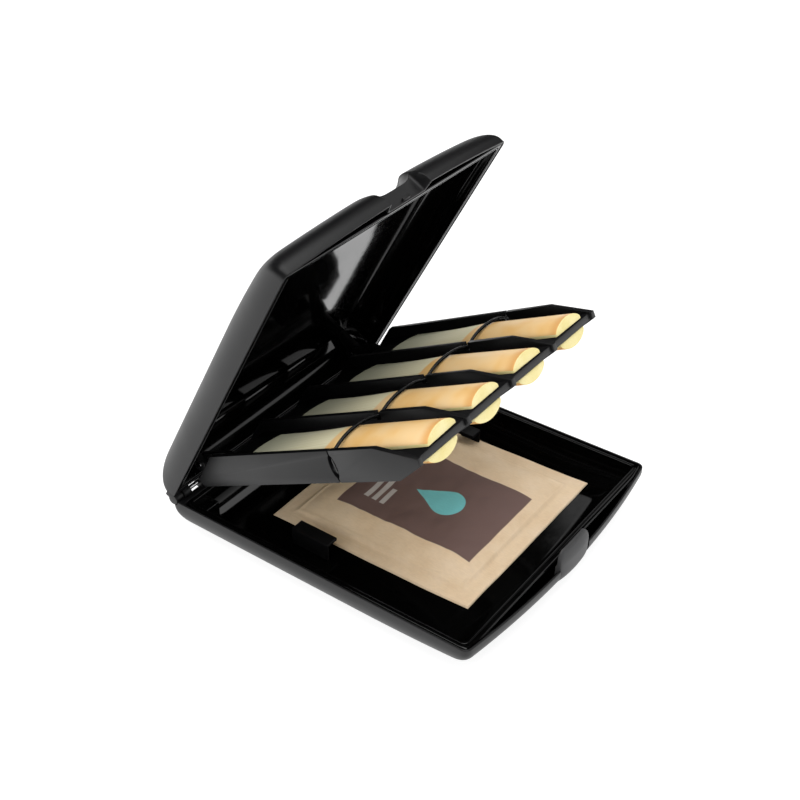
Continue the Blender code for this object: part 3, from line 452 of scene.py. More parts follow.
@dataclass(frozen=True)
class DrawnSteel(Finish):
    """Bright drawn steel wire: fine lines along it, 0.05 mm apart, that stretch each highlight."""

    metallic: float = 1.0
    line: float = 0.05 * MM
    line_depth: float = 0.002 * MM

    def pattern(self, tree: Tree) -> dict[str, Socket]:
        """Noise that is long along X and fine across it."""
        place = add(tree, "TexCoord", out="Object")
        along = add(tree, "Mapping", Vector=place, Scale=(0.02, 1.0, 1.0))
        lines = add(tree, "TexNoise", Vector=along, Scale=1 / self.line, Detail=2.0)
        return {"Normal": add(tree, "Bump", Height=lines, Strength=0.5, Distance=self.line_depth)}


@dataclass(frozen=True)
class BraidedElastic(Finish):
    """Rubber cord in a polyester braid: crossing black yarns that shine along the top.

    The yarns are about 0.3 mm wide. The pattern follows the cord's own UV, in millimetres round and along.
    """

    yarn: float = 0.32
    yarn_height: float = 0.03 * MM

    def pattern(self, tree: Tree) -> dict[str, Socket]:
        """Two sets of slanting waves, the higher of which is on top."""
        across = add(tree, "SeparateXYZ", add(tree, "UVMap", uv_map="UVMap"), out="X")
        waves = []
        for sign in (1.0, -1.0):
            slant = add(tree, "Math MULTIPLY_ADD", across, sign, across.node.outputs["Y"])
            waves.append(add(tree, "Math SINE", add(tree, "Math MULTIPLY", slant, 2 * math.pi / self.yarn)))
        top = add(tree, "Math MAXIMUM", *waves)
        return {"Normal": add(tree, "Bump", Height=top, Strength=0.6, Distance=self.yarn_height)}


@dataclass(frozen=True)
class ScrapedCane(Finish):
    """River cane: its golden bark on the heel, and the pale wood that scraping leaves on the vamp.

    UV holds millimetres: across the reed in U and along it from the heel in V. The fibres are about 0.3 mm
    apart and some tens of millimetres long.
    """

    vamp_start: float = 35.0
    fibre: float = 0.35
    fibre_height: float = 0.04 * MM
    heel_edge: str = "e2ab68"
    fleck: str = "a8703a"
    thin_tip: str = "c6c9b0"

    def pattern(self, tree: Tree) -> dict[str, Socket]:
        """Bark with flecks and warm patches, a shoulder line, and a pale fibrous vamp."""
        uv = add(tree, "UVMap", uv_map="UVMap")
        across = add(tree, "SeparateXYZ", uv, out="X")
        along = across.node.outputs["Y"]
        in_mm = add(tree, "VectorMath SCALE", add(tree, "TexCoord", out="Object"), Scale=1 / MM)
        fibres = add(tree, "Mapping", Vector=uv, Scale=(1 / self.fibre, 0.03, 1.0))
        strands = add(tree, "TexNoise", Vector=fibres, Scale=1.0, Detail=4.0)
        patches = add(tree, "TexNoise", Vector=in_mm, Scale=0.09, Detail=2.0)
        warm = add(tree, "ValToRGB", patches, stops=[(0.3, "edbc72"), (0.5, "f2cb8f"), (0.7, "f0cf9c")])
        smooth = {"interpolation_type": "SMOOTHSTEP"}
        colours = {"data_type": "RGBA", "out": 2}
        heel = add(tree, "MapRange", along, From_Min=0.3, From_Max=4.0, To_Min=1.0, To_Max=0.0, **smooth)
        bark = add(tree, "Mix", heel, i6=warm, i7=linear(self.heel_edge), **colours)
        spots = add(tree, "Mapping", Vector=uv, Scale=(1.1, 0.45, 1.0))
        specks = add(tree, "TexNoise", Vector=spots, Scale=1.0, Detail=5.0, Roughness=0.7)
        dark = add(tree, "MapRange", specks, From_Min=0.68, From_Max=0.74, To_Min=0.0, To_Max=0.5)
        speckled = add(tree, "Mix", dark, i6=bark, i7=linear(self.fleck), **colours)
        wood = add(tree, "ValToRGB", strands, stops=[(0.3, "e2dab0"), (0.5, "ebe4c0"), (0.72, "f3edd0")])
        tip = add(tree, "MapRange", along, From_Min=40.0, From_Max=69.0, To_Min=0.0, To_Max=0.75, **smooth)
        scraped = add(tree, "Mix", tip, i6=wood, i7=linear(self.thin_tip), **colours)
        bowed = add(tree, "Math MULTIPLY", across, across)
        line = add(tree, "Math MULTIPLY_ADD", bowed, -0.05, along)
        low, high = self.vamp_start - 0.8, self.vamp_start + 0.4
        shoulder = add(tree, "MapRange", line, From_Min=low, From_Max=high, To_Min=0.0, To_Max=1.0, **smooth)
        low, high = self.roughness - 0.12, self.roughness + 0.1
        return {
            "Base Color": add(tree, "Mix", shoulder, i6=speckled, i7=scraped, **colours),
            "Roughness": add(tree, "MapRange", shoulder, To_Min=low, To_Max=high),
            "Normal": add(tree, "Bump", Height=strands, Strength=0.6, Distance=self.fibre_height),
        }


@dataclass(frozen=True)
class CutCane(Finish):
    """Cane cut across or along its fibres: pale yellow, with the dark dots of the vessels, 0.45 mm apart."""

    vessel: float = 0.45 * MM
    vessel_colour: str = "c9ad62"
    patch: float = 4 * MM
    relief: float = 0.08 * MM

    def pattern(self, tree: Tree) -> dict[str, Socket]:
        """A field of small dots over a slow change of colour."""
        place = add(tree, "TexCoord", out="Object")
        dots = add(tree, "TexVoronoi", out="Distance", Vector=place, Scale=1 / self.vessel, Randomness=1.0)
        slow = add(tree, "TexNoise", Vector=place, Scale=1 / self.patch, Detail=3.0)
        ground = add(tree, "ValToRGB", slow, stops=[(0.3, "e6d791"), (0.7, "eee2a9")])
        near = add(tree, "MapRange", dots, From_Min=0.08, From_Max=0.25, To_Min=0.45, To_Max=0.0)
        dotted = add(tree, "Mix", near, i6=ground, i7=linear(self.vessel_colour), data_type="RGBA", out=2)
        bump = add(tree, "Bump", Height=slow, Strength=0.5, Distance=self.relief)
        return {"Base Color": dotted, "Normal": bump}


@dataclass(frozen=True)
class PrintedKraft(Finish):
    """Brown kraft paper with a printed panel: matt and fibrous, and ink that is a little darker.

    UV holds millimetres from the sachet's middle. The fibres are about 0.4 mm wide and 2 mm long. The drop is
    a disc with a cone up to its tip, whose sides touch the disc. Boxes are low and high X, low and high Y.
    """

    panel: tuple[float, float, float, float] = (-20.1, 15.3, -26.6, 22.2)
    panel_colour: str = "7c6561"
    deep_ink: str = "58443f"
    drop_colour: str = "7cd2d8"
    drop_middle: tuple[float, float] = (-2.4, -7.0)
    drop_radius: float = 5.6
    drop_rise: float = 11.5
    bar_colour: str = "c9c4c2"
    bars: tuple[tuple[float, float, float, float], ...] = (
        (-13.9, -6.4, 9.0, 10.7),
        (-13.9, 0.6, 11.9, 13.6),
        (-13.9, 4.6, 14.8, 16.5),
    )
    fibre_height: float = 0.05 * MM

    def inside(self, tree: Tree, places: list[Socket], box: tuple[float, ...], edge: float) -> Socket:
        """One inside a box of the print, with a soft edge."""
        sides = []
        for place, low, high in zip(places, box[::2], box[1::2]):
            away = add(tree, "Math ABSOLUTE", add(tree, "Math SUBTRACT", place, (low + high) / 2))
            sides.append(add(tree, "Math SUBTRACT", (high - low) / 2, away))
        return add(tree, "MapRange", add(tree, "Math MINIMUM", *sides), From_Min=-edge, From_Max=edge)

    def drop(self, tree: Tree, across: Socket, along: Socket) -> Socket:
        """One inside the drop, with a soft edge."""
        radius, rise = self.drop_radius, self.drop_rise
        x = add(tree, "Math SUBTRACT", across, self.drop_middle[0])
        y = add(tree, "Math SUBTRACT", along, self.drop_middle[1])
        squares = add(tree, "Math MULTIPLY_ADD", y, y, add(tree, "Math MULTIPLY", x, x))
        disc = add(tree, "Math SUBTRACT", radius, add(tree, "Math SQRT", squares))
        touch = radius * radius / rise
        narrowing = radius * math.sqrt(1 - (radius / rise) ** 2) / (rise - touch)
        half = add(tree, "Math MULTIPLY", add(tree, "Math SUBTRACT", rise, y), narrowing)
        side = add(tree, "Math SUBTRACT", half, add(tree, "Math ABSOLUTE", x))
        cone = add(tree, "Math MINIMUM", side, add(tree, "Math SUBTRACT", y, touch))
        return add(tree, "MapRange", add(tree, "Math MAXIMUM", disc, cone), From_Min=-0.1, From_Max=0.1)

    def pattern(self, tree: Tree) -> dict[str, Socket]:
        """Paper, and the print as distances worked out in the sachet's own UV."""
        uv = add(tree, "UVMap", uv_map="UVMap")
        across = add(tree, "SeparateXYZ", uv, out="X")
        along = across.node.outputs["Y"]
        panel = self.inside(tree, [across, along], self.panel, 0.12)
        drop = self.drop(tree, across, along)
        bars = self.inside(tree, [across, along], self.bars[0], 0.1)
        for box in self.bars[1:]:
            bars = add(tree, "Math MAXIMUM", bars, self.inside(tree, [across, along], box, 0.1))
        threads = add(tree, "Mapping", Vector=uv, Scale=(2.2, 0.5, 1.0))
        fibres = add(tree, "TexNoise", Vector=threads, Scale=1.0, Detail=6.0, Roughness=0.65)
        clouds = add(tree, "TexNoise", Vector=uv, Scale=0.11, Detail=4.0, Roughness=0.6)
        paper = add(tree, "ValToRGB", clouds, stops=[(0.25, "e6cba8"), (0.5, "eed6b5"), (0.75, "f3ddc0")])
        flecked = add(tree, "MapRange", fibres, From_Min=0.3, From_Max=0.7, To_Min=0.93, To_Max=1.03)
        share = add(tree, "Math MULTIPLY", fibres, 0.35)
        colours = {"data_type": "RGBA", "out": 2}
        ink = add(tree, "Mix", share, i6=linear(self.panel_colour), i7=linear(self.deep_ink), **colours)
        for shape, colour in ((bars, self.bar_colour), (drop, self.drop_colour)):
            ink = add(tree, "Mix", shape, i6=ink, i7=linear(colour), **colours)
        printed = add(tree, "Mix", panel, i6=paper, i7=ink, **colours)
        return {
            "Base Color": add(tree, "VectorMath SCALE", printed, Scale=flecked),
            "Normal": add(tree, "Bump", Height=fibres, Strength=0.7, Distance=self.fibre_height),
        }


class Finishes:
    """The finishes of the whole case, each made once."""

    def __init__(self, mark: tuple[float, float, float]) -> None:
        """Make the materials, with an ejector's mark at a place on the base's floor."""
        self.shell = MouldedPlastic("satin_moulded_abs", "101011", 0.42, 1.45).make()
        self.liner = PolishedPlastic("polished_black_abs", "030303", 0.06).make()
        self.floor = PolishedPlastic("polished_black_abs_floor", "030303", 0.07, mark=mark).make()
        self.tray = MouldedPlastic("satin_black_abs", "0d0d0e", 0.4, 1.45).make()
        self.latch = MouldedPlastic("satin_grey_latch_abs", "39393a", 0.5, 1.45).make()
        self.steel = DrawnSteel("drawn_steel", "d8d8da", 0.18, 1.45).make()
        self.elastic = BraidedElastic("braided_elastic", "0c0c0c", 0.22, 1.6).make()
        self.cane = ScrapedCane("scraped_river_cane", "e5b878", 0.5).make()
        self.cut_cane = CutCane("cut_river_cane", "efe0a0", 0.65).make()
        self.paper = PrintedKraft("printed_kraft_paper", "e2c19a", 0.85).make()


@dataclass(frozen=True)
class Bowl:
    """A shallow form open at the parting plane: flat floor, coved sides and a bowed front."""

    half_width: float
    back: float
    front: float
    bow: float
    corner: float
    straight: float
    curve: float
    side_inset: float
    front_inset: float
    back_inset: float
    corner_growth: float = 0.6
    side_power: float = 1.6
    front_points: int = 150
    corner_points: int = 12
    side_points: int = 64
    back_points: int = 34

    def ring(self, depth: Array | float) -> Array:
        """The closed outline at each depth.

        The wall follows a quarter of an ellipse: at a depth d below the straight part it is drawn in by
        inset * (1 - sqrt(1 - ((d - straight) / curve)^2)). The front is a parabola across the width, and each
        corner a quadratic curve.

        Args:
            depth: Depths below the parting plane.

        Returns:
            X and Y, shaped depths by points by two, from the middle of the front round the right side.
        """
        drawn_in = quarter((np.atleast_1d(depth) - self.straight) / self.curve)[:, None]
        half = self.half_width - self.side_inset * drawn_in
        back = self.back - self.back_inset * drawn_in
        front = self.front - self.front_inset * drawn_in
        corner = self.corner + self.corner_growth * self.side_inset * drawn_in
        counts = (self.front_points, self.corner_points, self.side_points)
        across, t, beside = (np.linspace(0, 1, count, endpoint=False) for count in counts)
        behind = 1 - np.linspace(0, 1, self.back_points)

        def front_y(x: Array) -> Array:
            """The bowed front line."""
            return -front - self.bow * (1 - (x / half) ** 2)

        def bend(first: Array, middle: Array, last: Array) -> Array:
            """A quadratic curve between two points, drawn towards a third."""
            return (1 - t) ** 2 * first + 2 * t * (1 - t) * middle + t * t * last

        near = half - corner
        side_front, side_back = corner - front, back - corner
        right = [
            (across * near, front_y(across * near)),
            (bend(near, half, half), bend(front_y(near), front_y(half), side_front)),
            (half + 0 * beside, side_front + (side_back - side_front) * beside**self.side_power),
            (bend(half, half, near), bend(side_back, back, back)),
            (near * behind, back + 0 * behind),
        ]
        right = np.concatenate([np.stack(stretch, axis=-1) for stretch in right], axis=1)
        return np.concatenate([right, right[:, -2:0:-1] * np.array([-1, 1])], axis=1)


@dataclass(frozen=True)
class ThumbDish:
    """The dish for the thumb over the catch: steep-sided, as wide as the catch at the nose, wider behind."""

    floor: float = 4.9 * MM
    start: float = 107 * MM
    rise_share: float = 0.1
    mouth: float = 105.5 * MM
    run: float = 13 * MM
    narrow: float = 9.4 * MM
    wide: float = 15 * MM
    side: float = 3.4 * MM
    power: int = 5
    back_start: float = 92 * MM
    back_radius: float = 6 * MM
    half_width: float = 17 * MM
    front: float = 112 * MM
    back: float = 85 * MM
    top: float = 30 * MM
    highest_floor: float = 29 * MM
    wall: float = 0.55 * MM
    room: float = 0.4 * MM
    points: int = 60

    def height(self, x: Array, y: Array) -> Array:
        """The dish's floor over the parting plane, at places across and along the lid.

        It is floor + rise_share * (y + start) + side * (|x| / half)^power, and behind back_start it climbs by
        (y + back_start)^2 / (2 back_radius). The half width grows from narrow to wide along a smooth step
        from the mouth.
        """
        climb = np.maximum(y + self.back_start, 0)
        spine = self.floor + self.rise_share * (y + self.start) + climb**2 / (2 * self.back_radius)
        share = np.clip((y + self.mouth) / self.run, 0, 1)
        half = self.narrow + (self.wide - self.narrow) * share**2 * (3 - 2 * share)
        return spine + self.side * (np.abs(x) / half) ** self.power

    def block(self, name: str, place: Place, lowered: float) -> Piece:
        """All that lies inside the dish, when its floor and walls are moved out by a distance, as a tool."""
        ends = ((-self.half_width, self.half_width), (-self.front, -self.back))
        across, along = np.meshgrid(*(np.linspace(low, high, self.points) for low, high in ends))
        inner = np.maximum(np.abs(across) - lowered, 0)
        floor = np.minimum(self.height(inner, along - lowered) - lowered, self.highest_floor)
        low, high = (np.stack([across, along, z], axis=-1) for z in (floor, np.full_like(floor, self.top)))
        rings = np.concatenate([low, high[:, ::-1]], axis=1)
        return Piece(name, place, Slot.LINER).from_grid(rings, strip_faces(*rings.shape[:2]))


@dataclass(frozen=True)
class CaseForm:
    """The sizes that both halves share."""

    width: float = 99.2 * MM
    shell_depth: float = 11.65 * MM
    wall: float = 1.3 * MM
    front_corner: float = 106.3 * MM
    bow: float = 4.1 * MM
    back: float = 0.6 * MM
    beam: float = 4.5 * MM
    beam_inset: float = 4 * MM
    level_behind: float = 70 * MM
    tuck_share: float = 0.22
    parting_gap: float = 0.15 * MM
    rim_round: float = 0.28 * MM
    rebate: float = 0.6 * MM
    rebate_depth: float = 1.4 * MM
    smallest_corner: float = 0.3 * MM
    notch_back: float = 107.0 * MM
    notch_half: float = 9.0 * MM
    notch_curl: float = 6 * MM
    notch_power: int = 24
    notch_reach_share: float = 1.4
    ledge: float = 106.4 * MM
    lid_ledge: float = 105.5 * MM
    floor: float = 10.35 * MM
    dish: ThumbDish = ThumbDish()

    def outer(self) -> Bowl:
        """The outside of a half."""
        return Bowl(
            half_width=self.width / 2,
            back=self.back,
            front=self.front_corner,
            bow=self.bow,
            corner=2.3 * MM,
            straight=2.05 * MM,
            curve=9.6 * MM,
            side_inset=9.6 * MM,
            front_inset=12 * MM,
            back_inset=8.5 * MM,
        )

    def inset(self, offset: float, back_offset: float, back_inset: float) -> Bowl:
        """The outside form drawn in by an offset, and by its own amount at the back."""
        outer = self.outer()
        names = ("half_width", "front", "curve", "side_inset", "front_inset")
        less = {name: getattr(outer, name) - offset for name in names}
        corner = max(outer.corner - offset, self.smallest_corner)
        return replace(outer, back=outer.back - back_offset, corner=corner, back_inset=back_inset, **less)

    def liner_face(self, offset: float = 0.0) -> Bowl:
        """The liner's inner face, or an outline round it."""
        return Bowl(
            half_width=46.9 * MM + offset,
            back=-5.3 * MM + min(offset, 1.1 * MM),
            front=103.9 * MM + offset,
            bow=0.0,
            corner=1.2 * MM + offset,
            straight=2.05 * MM,
            curve=11 * MM,
            side_inset=16.7 * MM,
            front_inset=13 * MM,
            back_inset=8 * MM,
        )

    def tuck(self, y: Array) -> Array:
        """The share of its depth that a form keeps: all behind, less with the square of the way forward."""
        run = np.clip((-y - self.level_behind) / (self.front_corner + self.bow - self.level_behind), 0, 1)
        return 1 - self.tuck_share * run**2

    def heights(self, half: Half, flat: Array, depth: Array | float) -> Array:
        """The heights of rows of outline points at their depths, as the tuck leaves them."""
        return half.value * np.atleast_1d(depth)[:, None] * self.tuck(flat[..., 1])

    def notched(self, flat: Array, offset: float, blend: float) -> Array:
        """Push a front back to the notch for the catch, or to a line round it at an offset.

        The notch's wall lies at notch_back, less a high power of x / notch_half, so its corners are round.
        """
        x, y = flat[..., 0], flat[..., 1]
        share = np.minimum(np.abs(x) / (self.notch_half + offset), self.notch_reach_share)
        wall = offset - self.notch_back - self.notch_curl * share**self.notch_power
        return np.stack([x, smooth_max(y, wall, blend)], axis=-1)

    def nose(self, z: Array) -> Array:
        """Where the closed case's nose lies at heights over and under the parting plane, in the middle."""
        outer = self.outer()
        foremost = -outer.front - self.bow
        y = np.full_like(z, foremost)
        for _ in range(12):
            depth = np.abs(z) / self.tuck(y)
            y = foremost + outer.front_inset * quarter((depth - outer.straight) / outer.curve)
        return y


def rod_piece(
    name: str,
    place: Place,
    radius: float,
    span: tuple[float, float],
    line: tuple[float, float] = (0.0, 0.0),
    rounding: float = 0.0,
) -> Piece:
    """A round bar along X: a circle carried along the line, with its radius drawn in at the ends.

    Args:
        name: The piece's name.
        place: The body's axes.
        radius: The bar's radius.
        span: Its two ends along X.
        line: Y and Z of its middle.
        rounding: How far the ends are rounded.

    Returns:
        The closed bar.
    """
    start, end = sorted(span)
    turn = np.linspace(0, math.pi / 2, 6)
    ends = rounding * (1 - np.sin(turn))
    radii = radius - rounding * (1 - np.cos(turn))
    along = np.concatenate([[start], start + ends[::-1], end - ends, [end]])
    size = np.concatenate([[0.0], radii[::-1], radii, [0.0]])[:, None]
    circle = np.linspace(0, 2 * math.pi, 40, endpoint=False)
    x, y, z = along[:, None] + 0 * circle, line[0] + size * np.cos(circle), line[1] + size * np.sin(circle)
    faces = grid_faces(*x.shape, closed_columns=True)
    return Piece(name, place, Slot.STEEL).from_grid(np.stack([x, y, z], axis=-1), faces)


def extruded_piece(
    name: str,
    place: Place,
    outline: Array,
    span: tuple[float, float],
    axis: int,
    rounding: float = 0.0,
    slot: Slot = Slot.SHELL,
) -> Piece:
    """An outline carried straight along one axis between two places, with rounded edges.

    Args:
        name: The piece's name.
        place: The body's axes.
        outline: Points of the outline in the other two axes.
        span: Its two places along the axis.
        axis: 0 for X, 1 for Y, 2 for Z.
        rounding: The radius of its edges.
        slot: The record's slot.

    Returns:
        The closed piece.
    """
    points = np.stack([np.insert(outline, axis, value, axis=1) for value in sorted(span)])
    faces = grid_faces(2, len(outline), closed_columns=True)
    made = Piece(name, place, slot).from_grid(points, faces, capped=True)
    return made.bevelled(rounding, 3) if rounding > 0 else made


def box_piece(name: str, place: Place, low: tuple[float, ...], high: tuple[float, ...]) -> Piece:
    """A block between its lowest and its highest corner."""
    outline = np.array([[low[0], low[1]], [high[0], low[1]], [high[0], high[1]], [low[0], high[1]]])
    return extruded_piece(name, place, outline, (low[2], high[2]), 2)


@dataclass(frozen=True)
class ShellSkin:
    """One moulded half: satin outside, polished inside, as one closed skin."""

    form: CaseForm
    half: Half
    place: Place
    crease_share: float = 0.42
    crease_rows: tuple[int, int] = (36, 26)
    cove_rows: int = 30
    hollow_rows: int = 18
    rim_rows: int = 6
    notch_blend: float = 0.4 * MM
    dish_blend: float = 0.5 * MM
    trough: float = 2.6 * MM
    trough_end: float = 46.4 * MM
    ear_seat: float = 2 * MM
    pocket_half: float = 8.0 * MM
    pocket_back: float = 107.2 * MM
    pocket_floor: float = 6.6 * MM

    def bands(self) -> list[tuple[Array, Array | float, float, int]]:
        """The stretches of the skin, from the floor's outside round the rim to its inside.

        Returns:
            For each, its outlines, their depths, how far they lie in from the outside, and a material number.
        """
        form = self.form
        outer = form.outer()
        inner_count, outer_count = self.crease_rows
        share = np.linspace(0, self.crease_share, inner_count)[:-1]
        share = np.concatenate([share, np.linspace(self.crease_share, 1, outer_count)[:-1]])

        def floor(bowl: Bowl, depth: float, shares: Array) -> Array:
            """The rows of a flat floor: its outline narrowed across the case by each share."""
            return bowl.ring(depth) * np.stack([shares, np.ones_like(shares)], axis=-1)[:, None]

        cove = outer.straight + outer.curve * np.sin(np.linspace(math.pi / 2, 0, self.cove_rows))
        bands = [(floor(outer, form.shell_depth, share), form.shell_depth, 0.0, 0)]
        bands.append((outer.ring(cove), cove, 0.0, 0))
        around = np.linspace(0, math.pi / 2, self.rim_rows)
        for angle in around:
            offset = form.rim_round * (1 - math.cos(angle))
            depth = form.parting_gap + form.rim_round * (1 - math.sin(angle))
            bands.append((form.inset(offset, offset, outer.back_inset).ring(depth), depth, offset, 0))
        small = form.rim_round / 2
        for angle in around[::2]:
            offset = form.rebate - small + small * math.sin(angle)
            depth = form.parting_gap + small * (1 - math.cos(angle))
            ring = form.inset(offset, form.beam - form.rebate + offset, outer.back_inset).ring(depth)
            bands.append((ring, depth, offset, 0))
        step = form.inset(form.rebate, form.beam, form.beam_inset).ring(form.rebate_depth)
        bands.append((step, form.rebate_depth, form.rebate, 0))
        hollow = form.inset(form.wall, form.beam, form.beam_inset)
        cove = hollow.straight + hollow.curve * np.sin(np.linspace(0, math.pi / 2, self.hollow_rows))
        cove = np.concatenate([[form.rebate_depth], cove])
        bands.append((hollow.ring(cove), cove, form.wall, 1))
        bands.append((floor(hollow, cove[-1], share[::-1]), cove[-1], form.wall, 1))
        return bands

    def rows(self) -> tuple[Array, Array]:
        """The points of the skin, shaped rows by columns by three, and the material number of each row."""
        form = self.form
        points, finishes = [], []
        for flat, depth, offset, finish in self.bands():
            if self.half is Half.UPPER:
                flat = form.notched(flat, offset, self.notch_blend)
            height = form.heights(self.half, flat, depth)
            if self.half is Half.UPPER:
                dish = form.dish.height(flat[..., 0], flat[..., 1]) - finish * form.dish.wall
                height = -smooth_max(-height, -dish, self.dish_blend)
            points.append(np.concatenate([flat, height[..., None]], axis=-1))
            finishes.append(np.full(len(flat), finish))
        return np.concatenate(points), np.concatenate(finishes)

    def make(self, name: str) -> Piece:
        """The skin as a piece, with the hinge's trough cut out of its back beam."""
        form = self.form
        points, finishes = self.rows()
        rows, columns = points.shape[:2]
        faces = grid_faces(rows, columns, closed_columns=True)
        skin = Piece(name, self.place, Slot.SHELL).from_grid(points, faces, np.repeat(finishes[1:], columns))
        tools = [rod_piece("trough", self.place, self.trough, (-self.trough_end, self.trough_end))]
        if self.half is Half.LOWER:
            tools.append(rod_piece("ear_seat", self.place, self.ear_seat, (-form.width, form.width)))
            low = (-self.pocket_half, -form.front_corner - form.bow - MM, -self.pocket_floor)
            high = (self.pocket_half, -self.pocket_back, MM)
            tools.append(box_piece("latch_pocket", self.place, low, high))
        return skin.carved(*tools)


@dataclass(frozen=True)
class Hinge:
    """The hinge: knuckles on both halves, ears on the lid, and the pin."""

    base: Place
    lid: Place
    pin_radius: float = 0.7 * MM
    pin_rounding: float = 0.2 * MM
    knuckle_radius: float = 2.0 * MM
    ear_radius: float = 1.7 * MM
    root: float = 3.0 * MM
    back: float = 0.6 * MM
    case_end: float = 49.6 * MM
    ear_inner: float = 46.6 * MM
    base_outer: tuple[float, float] = (43.3 * MM, 46.3 * MM)
    lid_knuckle: tuple[float, float] = (29.8 * MM, 38.8 * MM)
    base_middle: float = 29.5 * MM
    edge: float = 0.18 * MM

    def barrel(self, name: str, half: Half, radius: float, span: tuple[float, float]) -> Piece:
        """A knuckle: a circle with a root that goes down into the beam, carried along the pin.

        Args:
            name: The piece's name.
            half: Which half it grows from.
            radius: The barrel's radius.
            span: Its two ends along the pin.

        Returns:
            The closed piece.
        """
        turn = np.linspace(math.asin(self.back / radius) - math.pi / 2, math.pi, 32)
        circle = radius * np.stack([np.cos(turn), np.sin(turn)], axis=-1)
        root = [[-radius, -self.root], [self.back, -self.root]]
        outline = np.concatenate([circle, root]) * np.array([1, -half.value])
        place = self.base if half is Half.LOWER else self.lid
        return extruded_piece(name, place, outline, span, 0, self.edge)

    def base_knuckles(self) -> list[Piece]:
        """The base's long middle knuckle and its two outer ones."""
        start, end = self.base_outer
        spans = [(-self.base_middle, self.base_middle), (start, end), (-start, -end)]
        radius = self.knuckle_radius
        return [self.barrel(f"base_knuckle_{k}", Half.LOWER, radius, span) for k, span in enumerate(spans)]

    def lid_knuckles(self) -> list[Piece]:
        """The lid's two knuckles and its two ears."""
        ear = (self.ear_inner, self.case_end)
        parts = (("knuckle", self.knuckle_radius, self.lid_knuckle), ("ear", self.ear_radius, ear))
        return [
            self.barrel(f"lid_{name}_{side}", Half.UPPER, radius, (side * start, side * end))
            for side in (-1, 1)
            for name, radius, (start, end) in parts
        ]

    def pin(self) -> Piece:
        """The steel pin, rounded over at its ends."""
        rounding = self.pin_rounding
        end = self.case_end - rounding
        return rod_piece("hinge_pin_steel", self.base, self.pin_radius, (-end, end), rounding=rounding)


